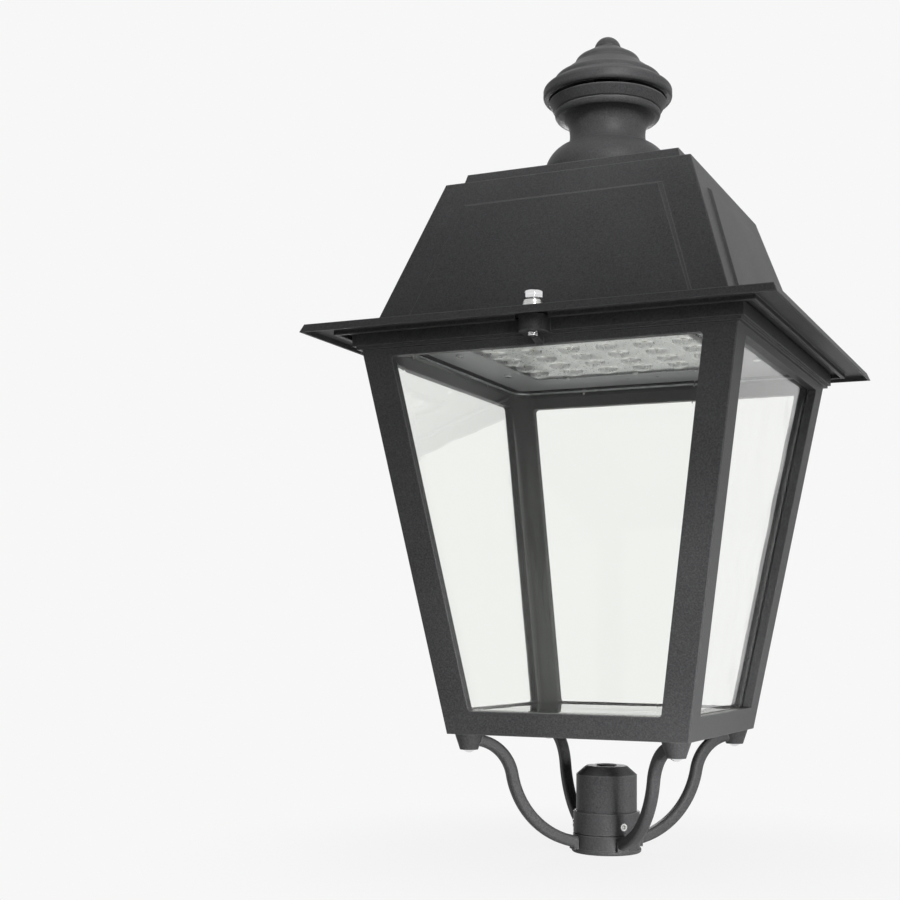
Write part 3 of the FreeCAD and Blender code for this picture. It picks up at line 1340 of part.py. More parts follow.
def make_heat_sink():
    low = "tray_low + tray_sheet"
    base = block("heat_sink base", "-sink_half_across", "sink_half_across",
                 "-sink_half_along", "sink_half_along",
                 low, low + " + sink_base")
    fins = [block("heat_sink fin", "%d * fin_pitch - fin_half" % index, "%d * fin_pitch + fin_half" % index,
                  "-sink_half_along", "sink_half_along", low + " + sink_base / 2", low + " + sink_height")
            for index in range(-FINS_EACH_SIDE, FINS_EACH_SIDE + 1)]
    holes = [rod("heat_sink hole", "screw_three", low + " - overrun", low + " + lens_screw_depth", x, y)
             for x, y in lens_screw_spots()]
    return cut("heat_sink", fuse("heat_sink blank", [base] + fins), holes)


def device(label, left, right, near, far, height):
    """A box shaped device with rounded upright edges and a foot at each end, on the tray."""
    low = "tray_low + tray_sheet"
    body = new_body(label)
    outline = new_sketch(body, "XY_Plane", low)
    rounded(outline, "((%s) - (%s)) / 2" % (right, left), "((%s) - (%s)) / 2" % (far, near), "device_round",
            "((%s) + (%s)) / 2" % (right, left), "((%s) + (%s)) / 2" % (far, near))
    pad(body, outline, height)
    feet = new_sketch(body, "XY_Plane", low)
    run(feet, [("(%s) - foot_length" % left, "(%s) + device_round" % near),
               ("(%s) + foot_length" % right, "(%s) + device_round" % near),
               ("(%s) + foot_length" % right, "(%s) - device_round" % far),
               ("(%s) - foot_length" % left, "(%s) - device_round" % far)])
    pad(body, feet, "foot_sheet")
    drills = new_sketch(body, "XY_Plane", low + " + foot_sheet")
    for x in ("(%s) - foot_length / 2" % left, "(%s) + foot_length / 2" % right):
        circle(drills, "screw_four_hole", x, "((%s) + (%s)) / 2" % (far, near))
    pocket(body, drills, "foot_sheet + overrun")
    return body


def make_led_driver():
    return device("led_driver", "-driver_half_across", "driver_half_across", "-driver_front", "-driver_rear",
                  "driver_height")


def make_surge_protector():
    return device("surge_protector", "surge_left", "surge_right", "surge_near", "surge_far", "surge_height")


TERMINAL_WAYS = 5


def make_terminal_block():
    body = device("terminal_block", "block_left", "block_right", "block_near", "block_far", "block_height")
    wells = new_sketch(body, "XY_Plane", "tray_low + tray_sheet + block_height")
    for way in range(TERMINAL_WAYS):
        x = "block_left + (block_right - block_left) * (%d + 0.5) / %d" % (way, TERMINAL_WAYS)
        for y in ("block_near + (block_far - block_near) / 4", "block_far - (block_far - block_near) / 4"):
            circle(wells, "block_screw", x, y)
    pocket(body, wells, "block_screw_depth")
    return body


def make_gear_screws():
    seat = "tray_low + tray_sheet + foot_sheet"
    return group("gear_screws", [
        slotted_screw("gear_screws screw", x, y, seat, "screw_four", "foot_sheet + tray_sheet")
        for x, y in device_screw_spots()])


BEND_SHARE = 0.45  # the part of the shorter neighbouring run that a lead's bend takes


def make_lead(label, across):
    """A lead from the driver, down through the tray and back into the plug."""
    start_height = number("tray_low + lead_start_rise")
    end_height = number("tray_low - lead_end_drop")
    spots = [Vec(number(across), -number("driver_rear"), start_height),
             Vec(number(across), -number("lead_drop"), start_height),
             Vec(number(across), -number("lead_drop"), end_height),
             Vec(number(across), -number("plug_far"), end_height)]
    edges = []
    start = spots[0]
    for before, here, after in zip(spots, spots[1:], spots[2:]):
        shorter = min((here - before).Length, (after - here).Length)
        into = (here - before).normalize()
        out = (after - here).normalize()
        half_turn = into.getAngle(out) / 2
        bend = BEND_SHARE * shorter / math.tan(half_turn)
        setback = bend * math.tan(half_turn)
        first = here - into * setback
        last = here + out * setback
        middle = here + (out - into).normalize() * (bend / math.cos(half_turn) - bend)
        edges.append(Part.LineSegment(start, first).toShape())
        edges.append(Part.Arc(first, middle, last).toShape())
        print(label, "bend radius", round(bend, 2))
        start = last
    edges.append(Part.LineSegment(start, spots[-1]).toShape())
    wire = Part.Wire(edges)
    into = (spots[1] - spots[0]).normalize()
    section = Part.Wire([Part.Circle(spots[0], into, number("lead_radius")).toShape()])
    solid = wire.makePipeShell([section], True, True)
    expected = math.pi * number("lead_radius") ** 2 * wire.Length
    print(label, "volume over section times length", round(solid.Volume / expected, 4))
    lead = doc.addObject("Part::Feature", "Lead")
    lead.Label = label
    lead.Shape = solid
    return lead


def make_lead_plug():
    return block("lead_plug", "plug_left", "plug_right", "-plug_far", "-plug_near", "tray_low - plug_height",
                 "tray_low")


# ---------------------------------------------------------------------------------------------------------
# Closing bolt
# ---------------------------------------------------------------------------------------------------------
def make_brim_bush():
    bore = "bolt_radius + bolt_play"
    return lathe("brim_bush", [
        (bore, "brim_under"),
        ("bush_spigot", "brim_under"),
        ("bush_spigot", "brim_top"),
        ("bush_low_radius", "brim_top"),
        ("bush_high_radius", "bush_high"),
        (bore, "bush_high")], "0", "-bolt_line")


def make_bolt_washer():
    disc = rod("bolt_washer disc", "washer_radius", "washer_low", "washer_low + washer_sheet", "0",
               "-bolt_line")
    bore = rod("bolt_washer bore", "bolt_radius + bolt_play", "washer_low - overrun",
               "washer_low + washer_sheet + overrun", "0", "-bolt_line")
    return cut("bolt_washer", disc, [bore])


def make_closing_bolt():
    """A slotted hexagon head bolt, its head chamfered by a turned envelope."""
    envelope = lathe("closing_bolt envelope", [
        ("0", "bolt_head_low"),
        ("bolt_head", "bolt_head_low"),
        ("bolt_head", "bolt_head_high - bolt_head_chamfer"),
        ("bolt_head_face", "bolt_head_high"),
        ("0", "bolt_head_high")], "0", "-bolt_line")
    bar = hexagon("closing_bolt hexagon", "bolt_head", "bolt_head_low", "bolt_head_high", "0", "-bolt_line")
    head = doc.addObject("Part::Common", "Common")
    head.Label = "closing_bolt head"
    head.Base = bar
    head.Tool = envelope
    shank = lathe("closing_bolt shank", [
        ("0", "bolt_low"),
        ("bolt_radius - bolt_tip", "bolt_low"),
        ("bolt_radius", "bolt_low + bolt_tip"),
        ("bolt_radius", "bolt_head_low"),
        ("0", "bolt_head_low")], "0", "-bolt_line")
    slot = block("closing_bolt slot", "-bolt_head - overrun", "bolt_head + overrun",
                 "-bolt_line - bolt_slot",
                 "-bolt_line + bolt_slot", "bolt_head_high - bolt_slot_depth", "bolt_head_high + overrun")
    return cut("closing_bolt", fuse("closing_bolt blank", [head, shank]), [slot])


# ---------------------------------------------------------------------------------------------------------
# Build, check and write
# ---------------------------------------------------------------------------------------------------------
nodes = [make_post_socket(), make_socket_grommet(), make_clamp_collar(), make_arm_ring()]
nodes += [make_grub_screw(label, turn) for label, turn in GRUB_TURNS.items()]
nodes += [make_arm(label, turn) for label, turn in ARM_TURNS.items()]
nodes += [make_arm_bolts(), make_arm_cap_nuts(), make_body_frame(), make_diffuser_bowl(), make_bowl_gasket(),
          make_retaining_frame(), make_retaining_screws(), make_cable_gland(), make_gland_locknut(),
          make_hinge_pins(), make_hinge_clips()]
nodes += [make_roof_canopy(), make_roof_gasket(), make_roof_top_plate(), make_top_plate_screws(),
          make_finial_base(), make_finial_cap(), make_finial_stud(), make_finial_nut(), make_finial_washer()]
nodes += [make_gear_tray(), make_tray_screws(), make_lens_array(), make_lens_screws(), make_led_board(),
          make_led_emitters(), make_heat_sink(), make_led_driver(), make_surge_protector(),
          make_terminal_block(), make_gear_screws(), make_lead_plug()]
nodes += [make_lead("led_lead_red", "lead_red"), make_lead("led_lead_black", "lead_black")]
nodes += [make_brim_bush(), make_bolt_washer(), make_closing_bolt()]
doc.recompute()

for item in doc.Objects:
    if "Invalid" in item.State or "Error" in item.State:
        raise RuntimeError("%s (%s) did not build: %s" % (item.Label, item.Name, item.State))
for node in nodes:
    if node.Shape.isNull() or not node.Shape.isValid():
        raise RuntimeError("%s has no valid shape" % node.Label)
for node in nodes:
    node.Shape.exportStep(os.path.join("parts", node.Label + ".step"))
    box = node.Shape.BoundBox
    print("%-26s solids %2d volume %10.0f  x %.1f..%.1f  y %.1f..%.1f  z %.1f..%.1f" % (
        node.Label, len(node.Shape.Solids), node.Shape.Volume, box.XMin, box.XMax, box.YMin, box.YMax,
        box.ZMin,
        box.ZMax))
print(len(nodes), "nodes")
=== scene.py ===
# %% [markdown]
# # A post top lantern: looks, studio and camera
#
# The lantern is a square cast frame on four curved arms. A clear bowl hangs inside the frame, and a hinged
# pyramid roof carries the light source and a turned finial. Its solids come from a CAD model and are loaded
# here as a fixed frame. This lesson gives them their finishes, adds the closing bolt, a small turned and
# threaded piece that looks better when it is modelled by hand, and sets up a plain studio.

# %% Load the solids
import json
import math

import bpy
from mathutils import Matrix, Vector


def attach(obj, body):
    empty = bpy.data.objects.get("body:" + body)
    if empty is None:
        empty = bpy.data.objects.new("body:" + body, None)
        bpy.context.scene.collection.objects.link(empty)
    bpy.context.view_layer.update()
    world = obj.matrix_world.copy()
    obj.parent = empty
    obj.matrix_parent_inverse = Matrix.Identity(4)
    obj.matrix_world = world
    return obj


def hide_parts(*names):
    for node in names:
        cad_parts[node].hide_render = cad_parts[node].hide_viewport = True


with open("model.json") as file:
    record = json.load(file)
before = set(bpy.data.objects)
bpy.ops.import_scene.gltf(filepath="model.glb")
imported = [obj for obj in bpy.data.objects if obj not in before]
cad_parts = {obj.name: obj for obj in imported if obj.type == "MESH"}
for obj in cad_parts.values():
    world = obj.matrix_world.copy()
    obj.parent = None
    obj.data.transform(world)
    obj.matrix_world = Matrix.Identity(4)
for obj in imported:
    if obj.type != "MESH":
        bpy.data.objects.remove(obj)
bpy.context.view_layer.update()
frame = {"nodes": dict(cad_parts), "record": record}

# %% [markdown]
# ## The camera
#
# The camera stands low in front and a little to the right, and looks up slightly, so that the underside of the
# brim shows. A camera could be aimed by hand, but its place, heading and roll are known here, so its matrix is
# put together from three directions: to the right, up, and backwards.

# %% Camera
CAMERA_PLACE = Vector((0.53762, -1.51912, 0.23523))
CAMERA_HEADING = math.radians(23.739)
CAMERA_PITCH = math.radians(5.295)
CAMERA_ROLL = math.radians(0.483)
LENS_LENGTH = 57.82
FRAME_SHIFT = (-0.0556, 0.0556)

bpy.ops.object.camera_add()
camera = bpy.context.object
camera.name = "studio_camera"
ahead = Vector((
    -math.sin(CAMERA_HEADING) * math.cos(CAMERA_PITCH),
    math.cos(CAMERA_HEADING) * math.cos(CAMERA_PITCH),
    math.sin(CAMERA_PITCH)))
level_right = Vector((math.cos(CAMERA_HEADING), math.sin(CAMERA_HEADING), 0))
level_up = level_right.cross(ahead)
right = level_right * math.cos(CAMERA_ROLL) + level_up * math.sin(CAMERA_ROLL)
up = level_up * math.cos(CAMERA_ROLL) - level_right * math.sin(CAMERA_ROLL)
camera.matrix_world = Matrix.Translation(CAMERA_PLACE) @ Matrix((right, up, -ahead)).transposed().to_4x4()
camera.data.lens = LENS_LENGTH
camera.data.sensor_width = 36
camera.data.shift_x, camera.data.shift_y = FRAME_SHIFT
bpy.context.scene.camera = camera
print("camera looks along", tuple(round(value, 3) for value in ahead))

# %% [markdown]
# ## Small helpers for colours and nodes
#
# Colours are easier to compare as the 0 to 255 values that a picture editor shows, so `tone` turns those into
# the linear values that shaders want. `place_node` adds a node to a tree and fills in its settings, and
# `wire` joins two sockets.

# %% Colour and node helpers
def tone(red, green, blue):
    """A linear colour from the values that a picture editor shows."""
    def linear(value):
        value = value / 255
        return value / 12.92 if value <= 0.04045 else ((value + 0.055) / 1.055) ** 2.4
    return (linear(red), linear(green), linear(blue), 1)


def place_node(tree, kind, settings=None, **values):
    """A new node; settings are its properties and values its input sockets, with _ for a space."""
    node = tree.nodes.new(kind)
    for name, value in (settings or {}).items():
        setattr(node, name, value)
    for name, value in values.items():
        node.inputs[name.replace("_", " ")].default_value = value
    return node


def wire(tree, start, end):
    tree.links.new(start, end)


def blend_colours(tree, factor, first, second):
    """A colour mix whose factor is a socket; first and second are colours or sockets."""
    node = place_node(tree, "ShaderNodeMix", {"data_type": "RGBA"})
    wire(tree, factor, node.inputs[0])
    for socket, value in ((node.inputs[6], first), (node.inputs[7], second)):
        if isinstance(value, bpy.types.NodeSocket):
            wire(tree, value, socket)
        else:
            socket.default_value = value
    return node.outputs[2]


def spread(tree, source, low, high):
    """Maps a 0 to 1 value to low to high."""
    node = place_node(tree, "ShaderNodeMapRange", To_Min=low, To_Max=high)
    wire(tree, source, node.inputs["Value"])
    return node.outputs["Result"]


print("white is", tone(255, 255, 255), "and mid grey is", round(tone(128, 128, 128)[0], 3))

# %% [markdown]
# ## Shared surface effects
#
# Four effects turn up on more than one finish, so each is a node group that is built once: the fine grain of a
# coat or a moulding, the rounded edges of a casting with a painted highlight along them, thin settled dust, and
# the fine lines that rolling, turning or drawing leaves in metal. A group holds only patterns. The shader
# itself stays in each material.

# %% Start a node group
def new_group(name, inputs, outputs):
    """An empty shader node group with named sockets: name to socket type, and its default for inputs."""
    group = bpy.data.node_groups.new(name, "ShaderNodeTree")
    for socket_name, default in inputs.items():
        socket = group.interface.new_socket(socket_name, in_out="INPUT", socket_type="NodeSocketFloat")
        socket.default_value = default
    for socket_name, socket_type in outputs.items():
        group.interface.new_socket(socket_name, in_out="OUTPUT", socket_type=socket_type)
    return group, group.nodes.new("NodeGroupInput"), group.nodes.new("NodeGroupOutput")


def use_group(tree, group, **values):
    node = tree.nodes.new("ShaderNodeGroup")
    node.node_tree = group
    for name, value in values.items():
        node.inputs[name.replace("_", " ")].default_value = value
    return node


# %% Grain of a coat or moulding
grain_group, entry, leave = new_group(
    "fine_grain", {"Grains per metre": 900, "Cloud scale": 9},
    {"Tone": "NodeSocketFloat", "Height": "NodeSocketFloat"})
place = place_node(grain_group, "ShaderNodeTexCoord")
grains = place_node(grain_group, "ShaderNodeTexNoise", Detail=4, Roughness=0.72)
pimples = place_node(grain_group, "ShaderNodeTexVoronoi", {"feature": "SMOOTH_F1"}, Smoothness=0.6)
clouds = place_node(grain_group, "ShaderNodeTexNoise", Detail=2, Roughness=0.5)
for texture, scale in ((grains, "Grains per metre"), (pimples, "Grains per metre"), (clouds, "Cloud scale")):
    wire(grain_group, place.outputs["Object"], texture.inputs["Vector"])
    wire(grain_group, entry.outputs[scale], texture.inputs["Scale"])
sharpened = spread(grain_group, grains.outputs["Fac"], -1.6, 2.6)
cloudy = spread(grain_group, clouds.outputs["Fac"], -0.5, 1.5)
tone_sum = place_node(grain_group, "ShaderNodeMath", {"operation": "MULTIPLY_ADD", "use_clamp": True})
wire(grain_group, sharpened, tone_sum.inputs[0])
tone_sum.inputs[1].default_value = 0.6
eased = spread(grain_group, cloudy, 0.0, 0.4)
wire(grain_group, eased, tone_sum.inputs[2])
wire(grain_group, tone_sum.outputs[0], leave.inputs["Tone"])
height_sum = place_node(grain_group, "ShaderNodeMath", {"operation": "SUBTRACT"})
wire(grain_group, grains.outputs["Fac"], height_sum.inputs[0])
wire(grain_group, pimples.outputs["Distance"], height_sum.inputs[1])
wire(grain_group, height_sum.outputs[0], leave.inputs["Height"])
print("group", grain_group.name, "has", len(grain_group.nodes), "nodes")

# %% Rounded edges and a painted edge highlight
edge_group, entry, leave = new_group(
    "rounded_edges_and_highlight", {"Width": 0.001, "Gain": 5}, {"Painted highlight": "NodeSocketFloat", "Normal": "NodeSocketVector"})
rounding = place_node(edge_group, "ShaderNodeBevel", {"samples": 4})
wire(edge_group, entry.outputs["Width"], rounding.inputs["Radius"])
surface = place_node(edge_group, "ShaderNodeNewGeometry")
likeness = place_node(edge_group, "ShaderNodeVectorMath", {"operation": "DOT_PRODUCT"})
wire(edge_group, rounding.outputs["Normal"], likeness.inputs[0])
wire(edge_group, surface.outputs["Normal"], likeness.inputs[1])
# Where the rounded normal turns away from the true one, this mask rises; the coat uses it as a painted edge
# highlight.
turned_away = place_node(edge_group, "ShaderNodeMath", {"operation": "SUBTRACT"})
turned_away.inputs[0].default_value = 1
wire(edge_group, likeness.outputs["Value"], turned_away.inputs[1])
stronger = place_node(edge_group, "ShaderNodeMath", {"operation": "MULTIPLY", "use_clamp": True})
wire(edge_group, turned_away.outputs[0], stronger.inputs[0])
wire(edge_group, entry.outputs["Gain"], stronger.inputs[1])
wire(edge_group, stronger.outputs[0], leave.inputs["Painted highlight"])
wire(edge_group, rounding.outputs["Normal"], leave.inputs["Normal"])
print("group", edge_group.name, "has", len(edge_group.nodes), "nodes")

# %% Settled dust
dust_group, entry, leave = new_group("settled_dust", {"Amount": 0.3}, {"Dust": "NodeSocketFloat"})
surface = place_node(dust_group, "ShaderNodeNewGeometry")
direction = place_node(dust_group, "ShaderNodeSeparateXYZ")
wire(dust_group, surface.outputs["Normal"], direction.inputs[0])
place = place_node(dust_group, "ShaderNodeTexCoord")
patches = place_node(dust_group, "ShaderNodeTexNoise", Scale=26, Detail=5, Roughness=0.65)
wire(dust_group, place.outputs["Object"], patches.inputs["Vector"])
facing_up = place_node(dust_group, "ShaderNodeMapRange", From_Min=0.35, From_Max=1.0)
wire(dust_group, direction.outputs["Z"], facing_up.inputs["Value"])
patchy = place_node(dust_group, "ShaderNodeMath", {"operation": "MULTIPLY"})
wire(dust_group, facing_up.outputs["Result"], patchy.inputs[0])
wire(dust_group, patches.outputs["Fac"], patchy.inputs[1])
dust_level = place_node(dust_group, "ShaderNodeMath", {"operation": "MULTIPLY", "use_clamp": True})
wire(dust_group, patchy.outputs[0], dust_level.inputs[0])
wire(dust_group, entry.outputs["Amount"], dust_level.inputs[1])
wire(dust_group, dust_level.outputs[0], leave.inputs["Dust"])
print("group", dust_group.name, "has", len(dust_group.nodes), "nodes")

# %% Fine lines in metal
lines_group, entry, leave = new_group(
    "metal_lines", {"Lines per metre": 2500}, {"Tone": "NodeSocketFloat", "Height": "NodeSocketFloat"})
place = place_node(lines_group, "ShaderNodeTexCoord")
squeeze = place_node(lines_group, "ShaderNodeMapping", Scale=(0.04, 0.04, 1.0))
wire(lines_group, place.outputs["Object"], squeeze.inputs["Vector"])
drawn = place_node(lines_group, "ShaderNodeTexNoise", Detail=4, Roughness=0.7)
wire(lines_group, squeeze.outputs["Vector"], drawn.inputs["Vector"])
wire(lines_group, entry.outputs["Lines per metre"], drawn.inputs["Scale"])
wire(lines_group, spread(lines_group, drawn.outputs["Fac"], -0.6, 1.6), leave.inputs["Tone"])
wire(lines_group, drawn.outputs["Fac"], leave.inputs["Height"])
print("group", lines_group.name, "has", len(lines_group.nodes), "nodes")

# %% [markdown]
# ## Finishes
#
# Every finish starts from one Principled shader. `new_finish` makes the material and sets the numbers that are
# the same all over, and the cells after it wire the patterns in.

# %% Start a finish
def new_finish(name, **values):
    """A material, its node tree and its Principled shader, with constant values set on the shader."""
    material = bpy.data.materials.new(name)
    material.use_nodes = True
    tree = material.node_tree
    shader = tree.nodes["Principled BSDF"]
    for socket_name, value in values.items():
        shader.inputs[socket_name.replace("_", " ")].default_value = value
    return material, tree, shader


def emboss(tree, shader, height, depth, normal=None):
    """Bump from a height socket; depth is in metres."""
    bump = place_node(tree, "ShaderNodeBump", Distance=depth)
    wire(tree, height, bump.inputs["Height"])
    if normal is not None:
        wire(tree, normal, bump.inputs["Normal"])
    wire(tree, bump.outputs["Normal"], shader.inputs["Normal"])


# %% [markdown]
# ### Graphite powder coat
#
# The castings are coated with a fine textured graphite powder. It is nearly black, a little uneven and slightly
# pimpled. Its edges are painted lighter, a painted highlight for the light that rounded edges catch. The Bevel
# node in the edge group rounds the edges in shading only, which suits a mesh of loose triangles that can't be
# bevelled.

# %% Graphite coat
graphite, tree, shader = new_finish("graphite_powder_coat", IOR=1.5)
shader.inputs["Specular IOR Level"].default_value = 0.12
grain = use_group(tree, grain_group, Grains_per_metre=560, Cloud_scale=7)
edges = use_group(tree, edge_group, Width=0.0018, Gain=9)
dust = use_group(tree, dust_group, Amount=0.12)
coat_colour = blend_colours(tree, grain.outputs["Tone"], tone(46, 46, 47), tone(72, 72, 73))
# Painted highlight: along its edges the coat colour is lightened towards a pale grey, standing in for the light
# the edges catch.
highlight_share = spread(tree, edges.outputs["Painted highlight"], 0, 0.65)
edge_highlight_colour = blend_colours(tree, highlight_share, coat_colour, tone(108, 108, 108))
dusty_colour = blend_colours(tree, dust.outputs["Dust"], edge_highlight_colour, tone(104, 102, 99))
wire(tree, dusty_colour, shader.inputs["Base Color"])
wire(tree, spread(tree, grain.outputs["Tone"], 0.38, 0.56), shader.inputs["Roughness"])
emboss(tree, shader, grain.outputs["Height"], 0.00016, edges.outputs["Normal"])

# %% [markdown]
# ### Metals
#
# The closing bolt, the bush under it and the dome nuts are bright plated steel. The plain screws are stainless.
# Both are metallic with a low roughness that fine lines disturb a little. The sheet that holds the bowl down is
# zinc plated, which shows as large pale crystals, so its tone comes from Voronoi cells.

# %% Bright plated steel and stainless steel
def metal_finish(name, dark, pale, lines_per_metre, smooth, rough):
    material, tree, shader = new_finish(name, Metallic=1.0)
    lines = use_group(tree, lines_group, Lines_per_metre=lines_per_metre)
    edges = use_group(tree, edge_group, Width=0.0003, Gain=3)
    wire(tree, blend_colours(tree, lines.outputs["Tone"], dark, pale), shader.inputs["Base Color"])
    wire(tree, spread(tree, lines.outputs["Tone"], smooth, rough), shader.inputs["Roughness"])
    emboss(tree, shader, lines.outputs["Height"], 0.000006, edges.outputs["Normal"])
    return material


bright_steel = metal_finish("bright_plated_steel", tone(214, 214, 216), tone(240, 240, 241), 900, 0.05, 0.13)
stainless = metal_finish("stainless_steel", tone(176, 176, 174), tone(208, 208, 206), 1800, 0.18, 0.34)
plain_aluminium = metal_finish(
    "extruded_aluminium", tone(188, 190, 192), tone(214, 215, 216), 700, 0.28, 0.45)

# %% Zinc plated sheet
zinc, tree, shader = new_finish("zinc_plated_sheet", Metallic=1.0)
place = place_node(tree, "ShaderNodeTexCoord")
crystals = place_node(tree, "ShaderNodeTexVoronoi", Scale=160, Randomness=1.0)
wire(tree, place.outputs["Object"], crystals.inputs["Vector"])
shade = place_node(tree, "ShaderNodeSeparateColor")
wire(tree, crystals.outputs["Color"], shade.inputs[0])
zinc_colour = blend_colours(tree, shade.outputs[0], tone(168, 170, 172), tone(206, 208, 210))
wire(tree, zinc_colour, shader.inputs["Base Color"])
wire(tree, spread(tree, shade.outputs[1], 0.3, 0.5), shader.inputs["Roughness"])
emboss(tree, shader, shade.outputs[0], 0.00001)

# %% [markdown]
# ### The clear bowl and the lenses
#
# The bowl is moulded in clear plastic, so it has faint waves in it and bright bent highlights at its corners.
# A fully transmissive shader would throw a dark shadow on everything behind it, because the renderer doesn't
# send light through it to the surfaces inside. Where a shadow or diffuse ray meets it, the finish is therefore
# plainly transparent.

# %% Clear finishes
def clear_finish(name, colour, ior, mirror_tint, roughness, wave_scale, wave_depth, speck_scale):
    material, tree, shader = new_finish(
        name, Base_Color=colour, IOR=ior, Specular_Tint=mirror_tint, Transmission_Weight=1.0)
    place = place_node(tree, "ShaderNodeTexCoord")
    waves = place_node(tree, "ShaderNodeTexNoise", Scale=wave_scale, Detail=1, Roughness=0.4)
    specks = place_node(tree, "ShaderNodeTexNoise", Scale=speck_scale, Detail=4, Roughness=0.7)
    wire(tree, place.outputs["Object"], waves.inputs["Vector"])
    wire(tree, place.outputs["Object"], specks.inputs["Vector"])
    wire(tree, spread(tree, specks.outputs["Fac"], roughness * 0.4, roughness * 1.6),
         shader.inputs["Roughness"])
    emboss(tree, shader, waves.outputs["Fac"], wave_depth)
    passing = place_node(tree, "ShaderNodeBsdfTransparent", Color=colour)
    path = place_node(tree, "ShaderNodeLightPath")
    either = place_node(tree, "ShaderNodeMath", {"operation": "MAXIMUM"})
    wire(tree, path.outputs["Is Shadow Ray"], either.inputs[0])
    wire(tree, path.outputs["Is Diffuse Ray"], either.inputs[1])
    choice = place_node(tree, "ShaderNodeMixShader")
    wire(tree, either.outputs[0], choice.inputs[0])
    wire(tree, shader.outputs[0], choice.inputs[1])
    wire(tree, passing.outputs[0], choice.inputs[2])
    wire(tree, choice.outputs[0], tree.nodes["Material Output"].inputs["Surface"])
    return material


clear_bowl = clear_finish("clear_moulded_bowl", tone(251, 252, 250), 1.49, tone(140, 140, 140), 0.015, 14,
                          0.0005, 90)
clear_lens = clear_finish("clear_moulded_lenses", tone(255, 255, 255), 1.14, tone(255, 255, 255), 0.3, 60,
                          0.0002, 220)

# %% [markdown]
# ### Rubber, paints and plastics
#
# The remaining finishes differ only in colour, gloss and grain, so one recipe serves them all: two close
# colours mixed by the grain, a roughness that follows it, and a shallow bump.

# %% Painted, moulded and rubber finishes
def grained_finish(name, dark, pale, grains_per_metre, smooth, rough, depth, edge=0.0005, metallic=0.0):
    material, tree, shader = new_finish(name, IOR=1.48, Metallic=metallic)
    grain = use_group(tree, grain_group, Grains_per_metre=grains_per_metre, Cloud_scale=12)
    edges = use_group(tree, edge_group, Width=edge, Gain=3)
    wire(tree, blend_colours(tree, grain.outputs["Tone"], dark, pale), shader.inputs["Base Color"])
    wire(tree, spread(tree, grain.outputs["Tone"], smooth, rough), shader.inputs["Roughness"])
    emboss(tree, shader, grain.outputs["Height"], depth, edges.outputs["Normal"])
    return material


rubber = grained_finish("black_rubber", tone(24, 24, 25), tone(34, 34, 35), 1500, 0.65, 0.85, 0.00005)
grey_paint = grained_finish(
    "grey_satin_paint", tone(150, 151, 153), tone(160, 161, 163), 600, 0.5, 0.62, 0.00002, metallic=0.6)
gland_nylon = grained_finish("black_nylon", tone(30, 30, 31), tone(38, 38, 39), 1300, 0.4, 0.55, 0.00003)
terminal_nylon = grained_finish(
    "grey_nylon", tone(128, 130, 132), tone(140, 142, 144), 1300, 0.4, 0.55, 0.00003)
device_case = grained_finish("white_case", tone(222, 222, 217), tone(234, 234, 229), 1100, 0.32, 0.45, 0.00003)
red_silicone = grained_finish("red_silicone", tone(168, 24, 34), tone(190, 32, 42), 1500, 0.4, 0.5, 0.00002)
black_silicone = grained_finish("black_silicone", tone(26, 26, 28), tone(34, 34, 36), 1500, 0.4, 0.5, 0.00002)
print("finishes so far:", ", ".join(sorted(material.name for material in bpy.data.materials)))

# %% [markdown]
# ### The LED board and its emitters
#
# The board carries a pale mask on bright metal, with faint raised tracks under it, and each emitter is a square
# of yellow phosphor. The tracks are the joints of a Brick texture.

# %% Board and phosphor
board_mask, tree, shader = new_finish("white_board_mask", IOR=1.5, Metallic=0.95)
place = place_node(tree, "ShaderNodeTexCoord")
tracks = place_node(tree, "ShaderNodeTexBrick", {"offset": 0.5}, Scale=30, Mortar_Size=0.03, Mortar_Smooth=0.4,
                    Color1=(1, 1, 1, 1), Color2=(0.85, 0.85, 0.85, 1), Mortar=(0, 0, 0, 1))
wire(tree, place.outputs["Object"], tracks.inputs["Vector"])
wire(tree, blend_colours(tree, tracks.outputs["Fac"], tone(252, 254, 252), tone(243, 245, 243)),
     shader.inputs["Base Color"])
wire(tree, spread(tree, tracks.outputs["Fac"], 0.7, 0.85), shader.inputs["Roughness"])
emboss(tree, shader, tracks.outputs["Fac"], 0.00004)
phosphor = grained_finish("yellow_phosphor", tone(214, 190, 96), tone(226, 204, 112), 3000, 0.35, 0.5, 0.00002)

# %% Give every solid its finish
FINISH_OF_SLOT = {
    "graphite_coat": graphite, "chrome_steel": bright_steel, "stainless": stainless, "clear_bowl": clear_bowl,
    "clear_lens": clear_lens, "black_rubber": rubber, "galvanised": zinc, "grey_paint": grey_paint,
    "gland_plastic": gland_nylon, "board_white": board_mask, "emitter_yellow": phosphor,
    "bare_aluminium": plain_aluminium, "device_white": device_case, "terminal_grey": terminal_nylon,
    "lead_red": red_silicone, "lead_black": black_silicone}
BRIGHT_PIECES = ("closing_bolt", "tray_screws")
slot_of_node = {subpart["node"]: subpart["material_slot"] for subpart in frame["record"]["subparts"]}
for node_name, solid in frame["nodes"].items():
    finish = bright_steel if node_name in BRIGHT_PIECES else FINISH_OF_SLOT[slot_of_node[node_name]]
    solid.data.materials.clear()
    solid.data.materials.append(finish)
print("dressed", len(frame["nodes"]), "solids")

# %% [markdown]
# ## Modelling by hand
#
# The closing bolt is worth modelling with Blender's own tools, because its thread and its chamfered head show.
# The helpers here clear the selection, apply a modifier, and hand the finished piece to its body.

# %% Modelling helpers
def clear_selection():
    if bpy.context.object is not None and bpy.context.object.mode != "OBJECT":
        bpy.ops.object.mode_set(mode="OBJECT")
    bpy.ops.object.select_all(action="DESELECT")


def name_new(name):
    piece = bpy.context.object
    piece.name = name
    piece.data.name = name
    return piece


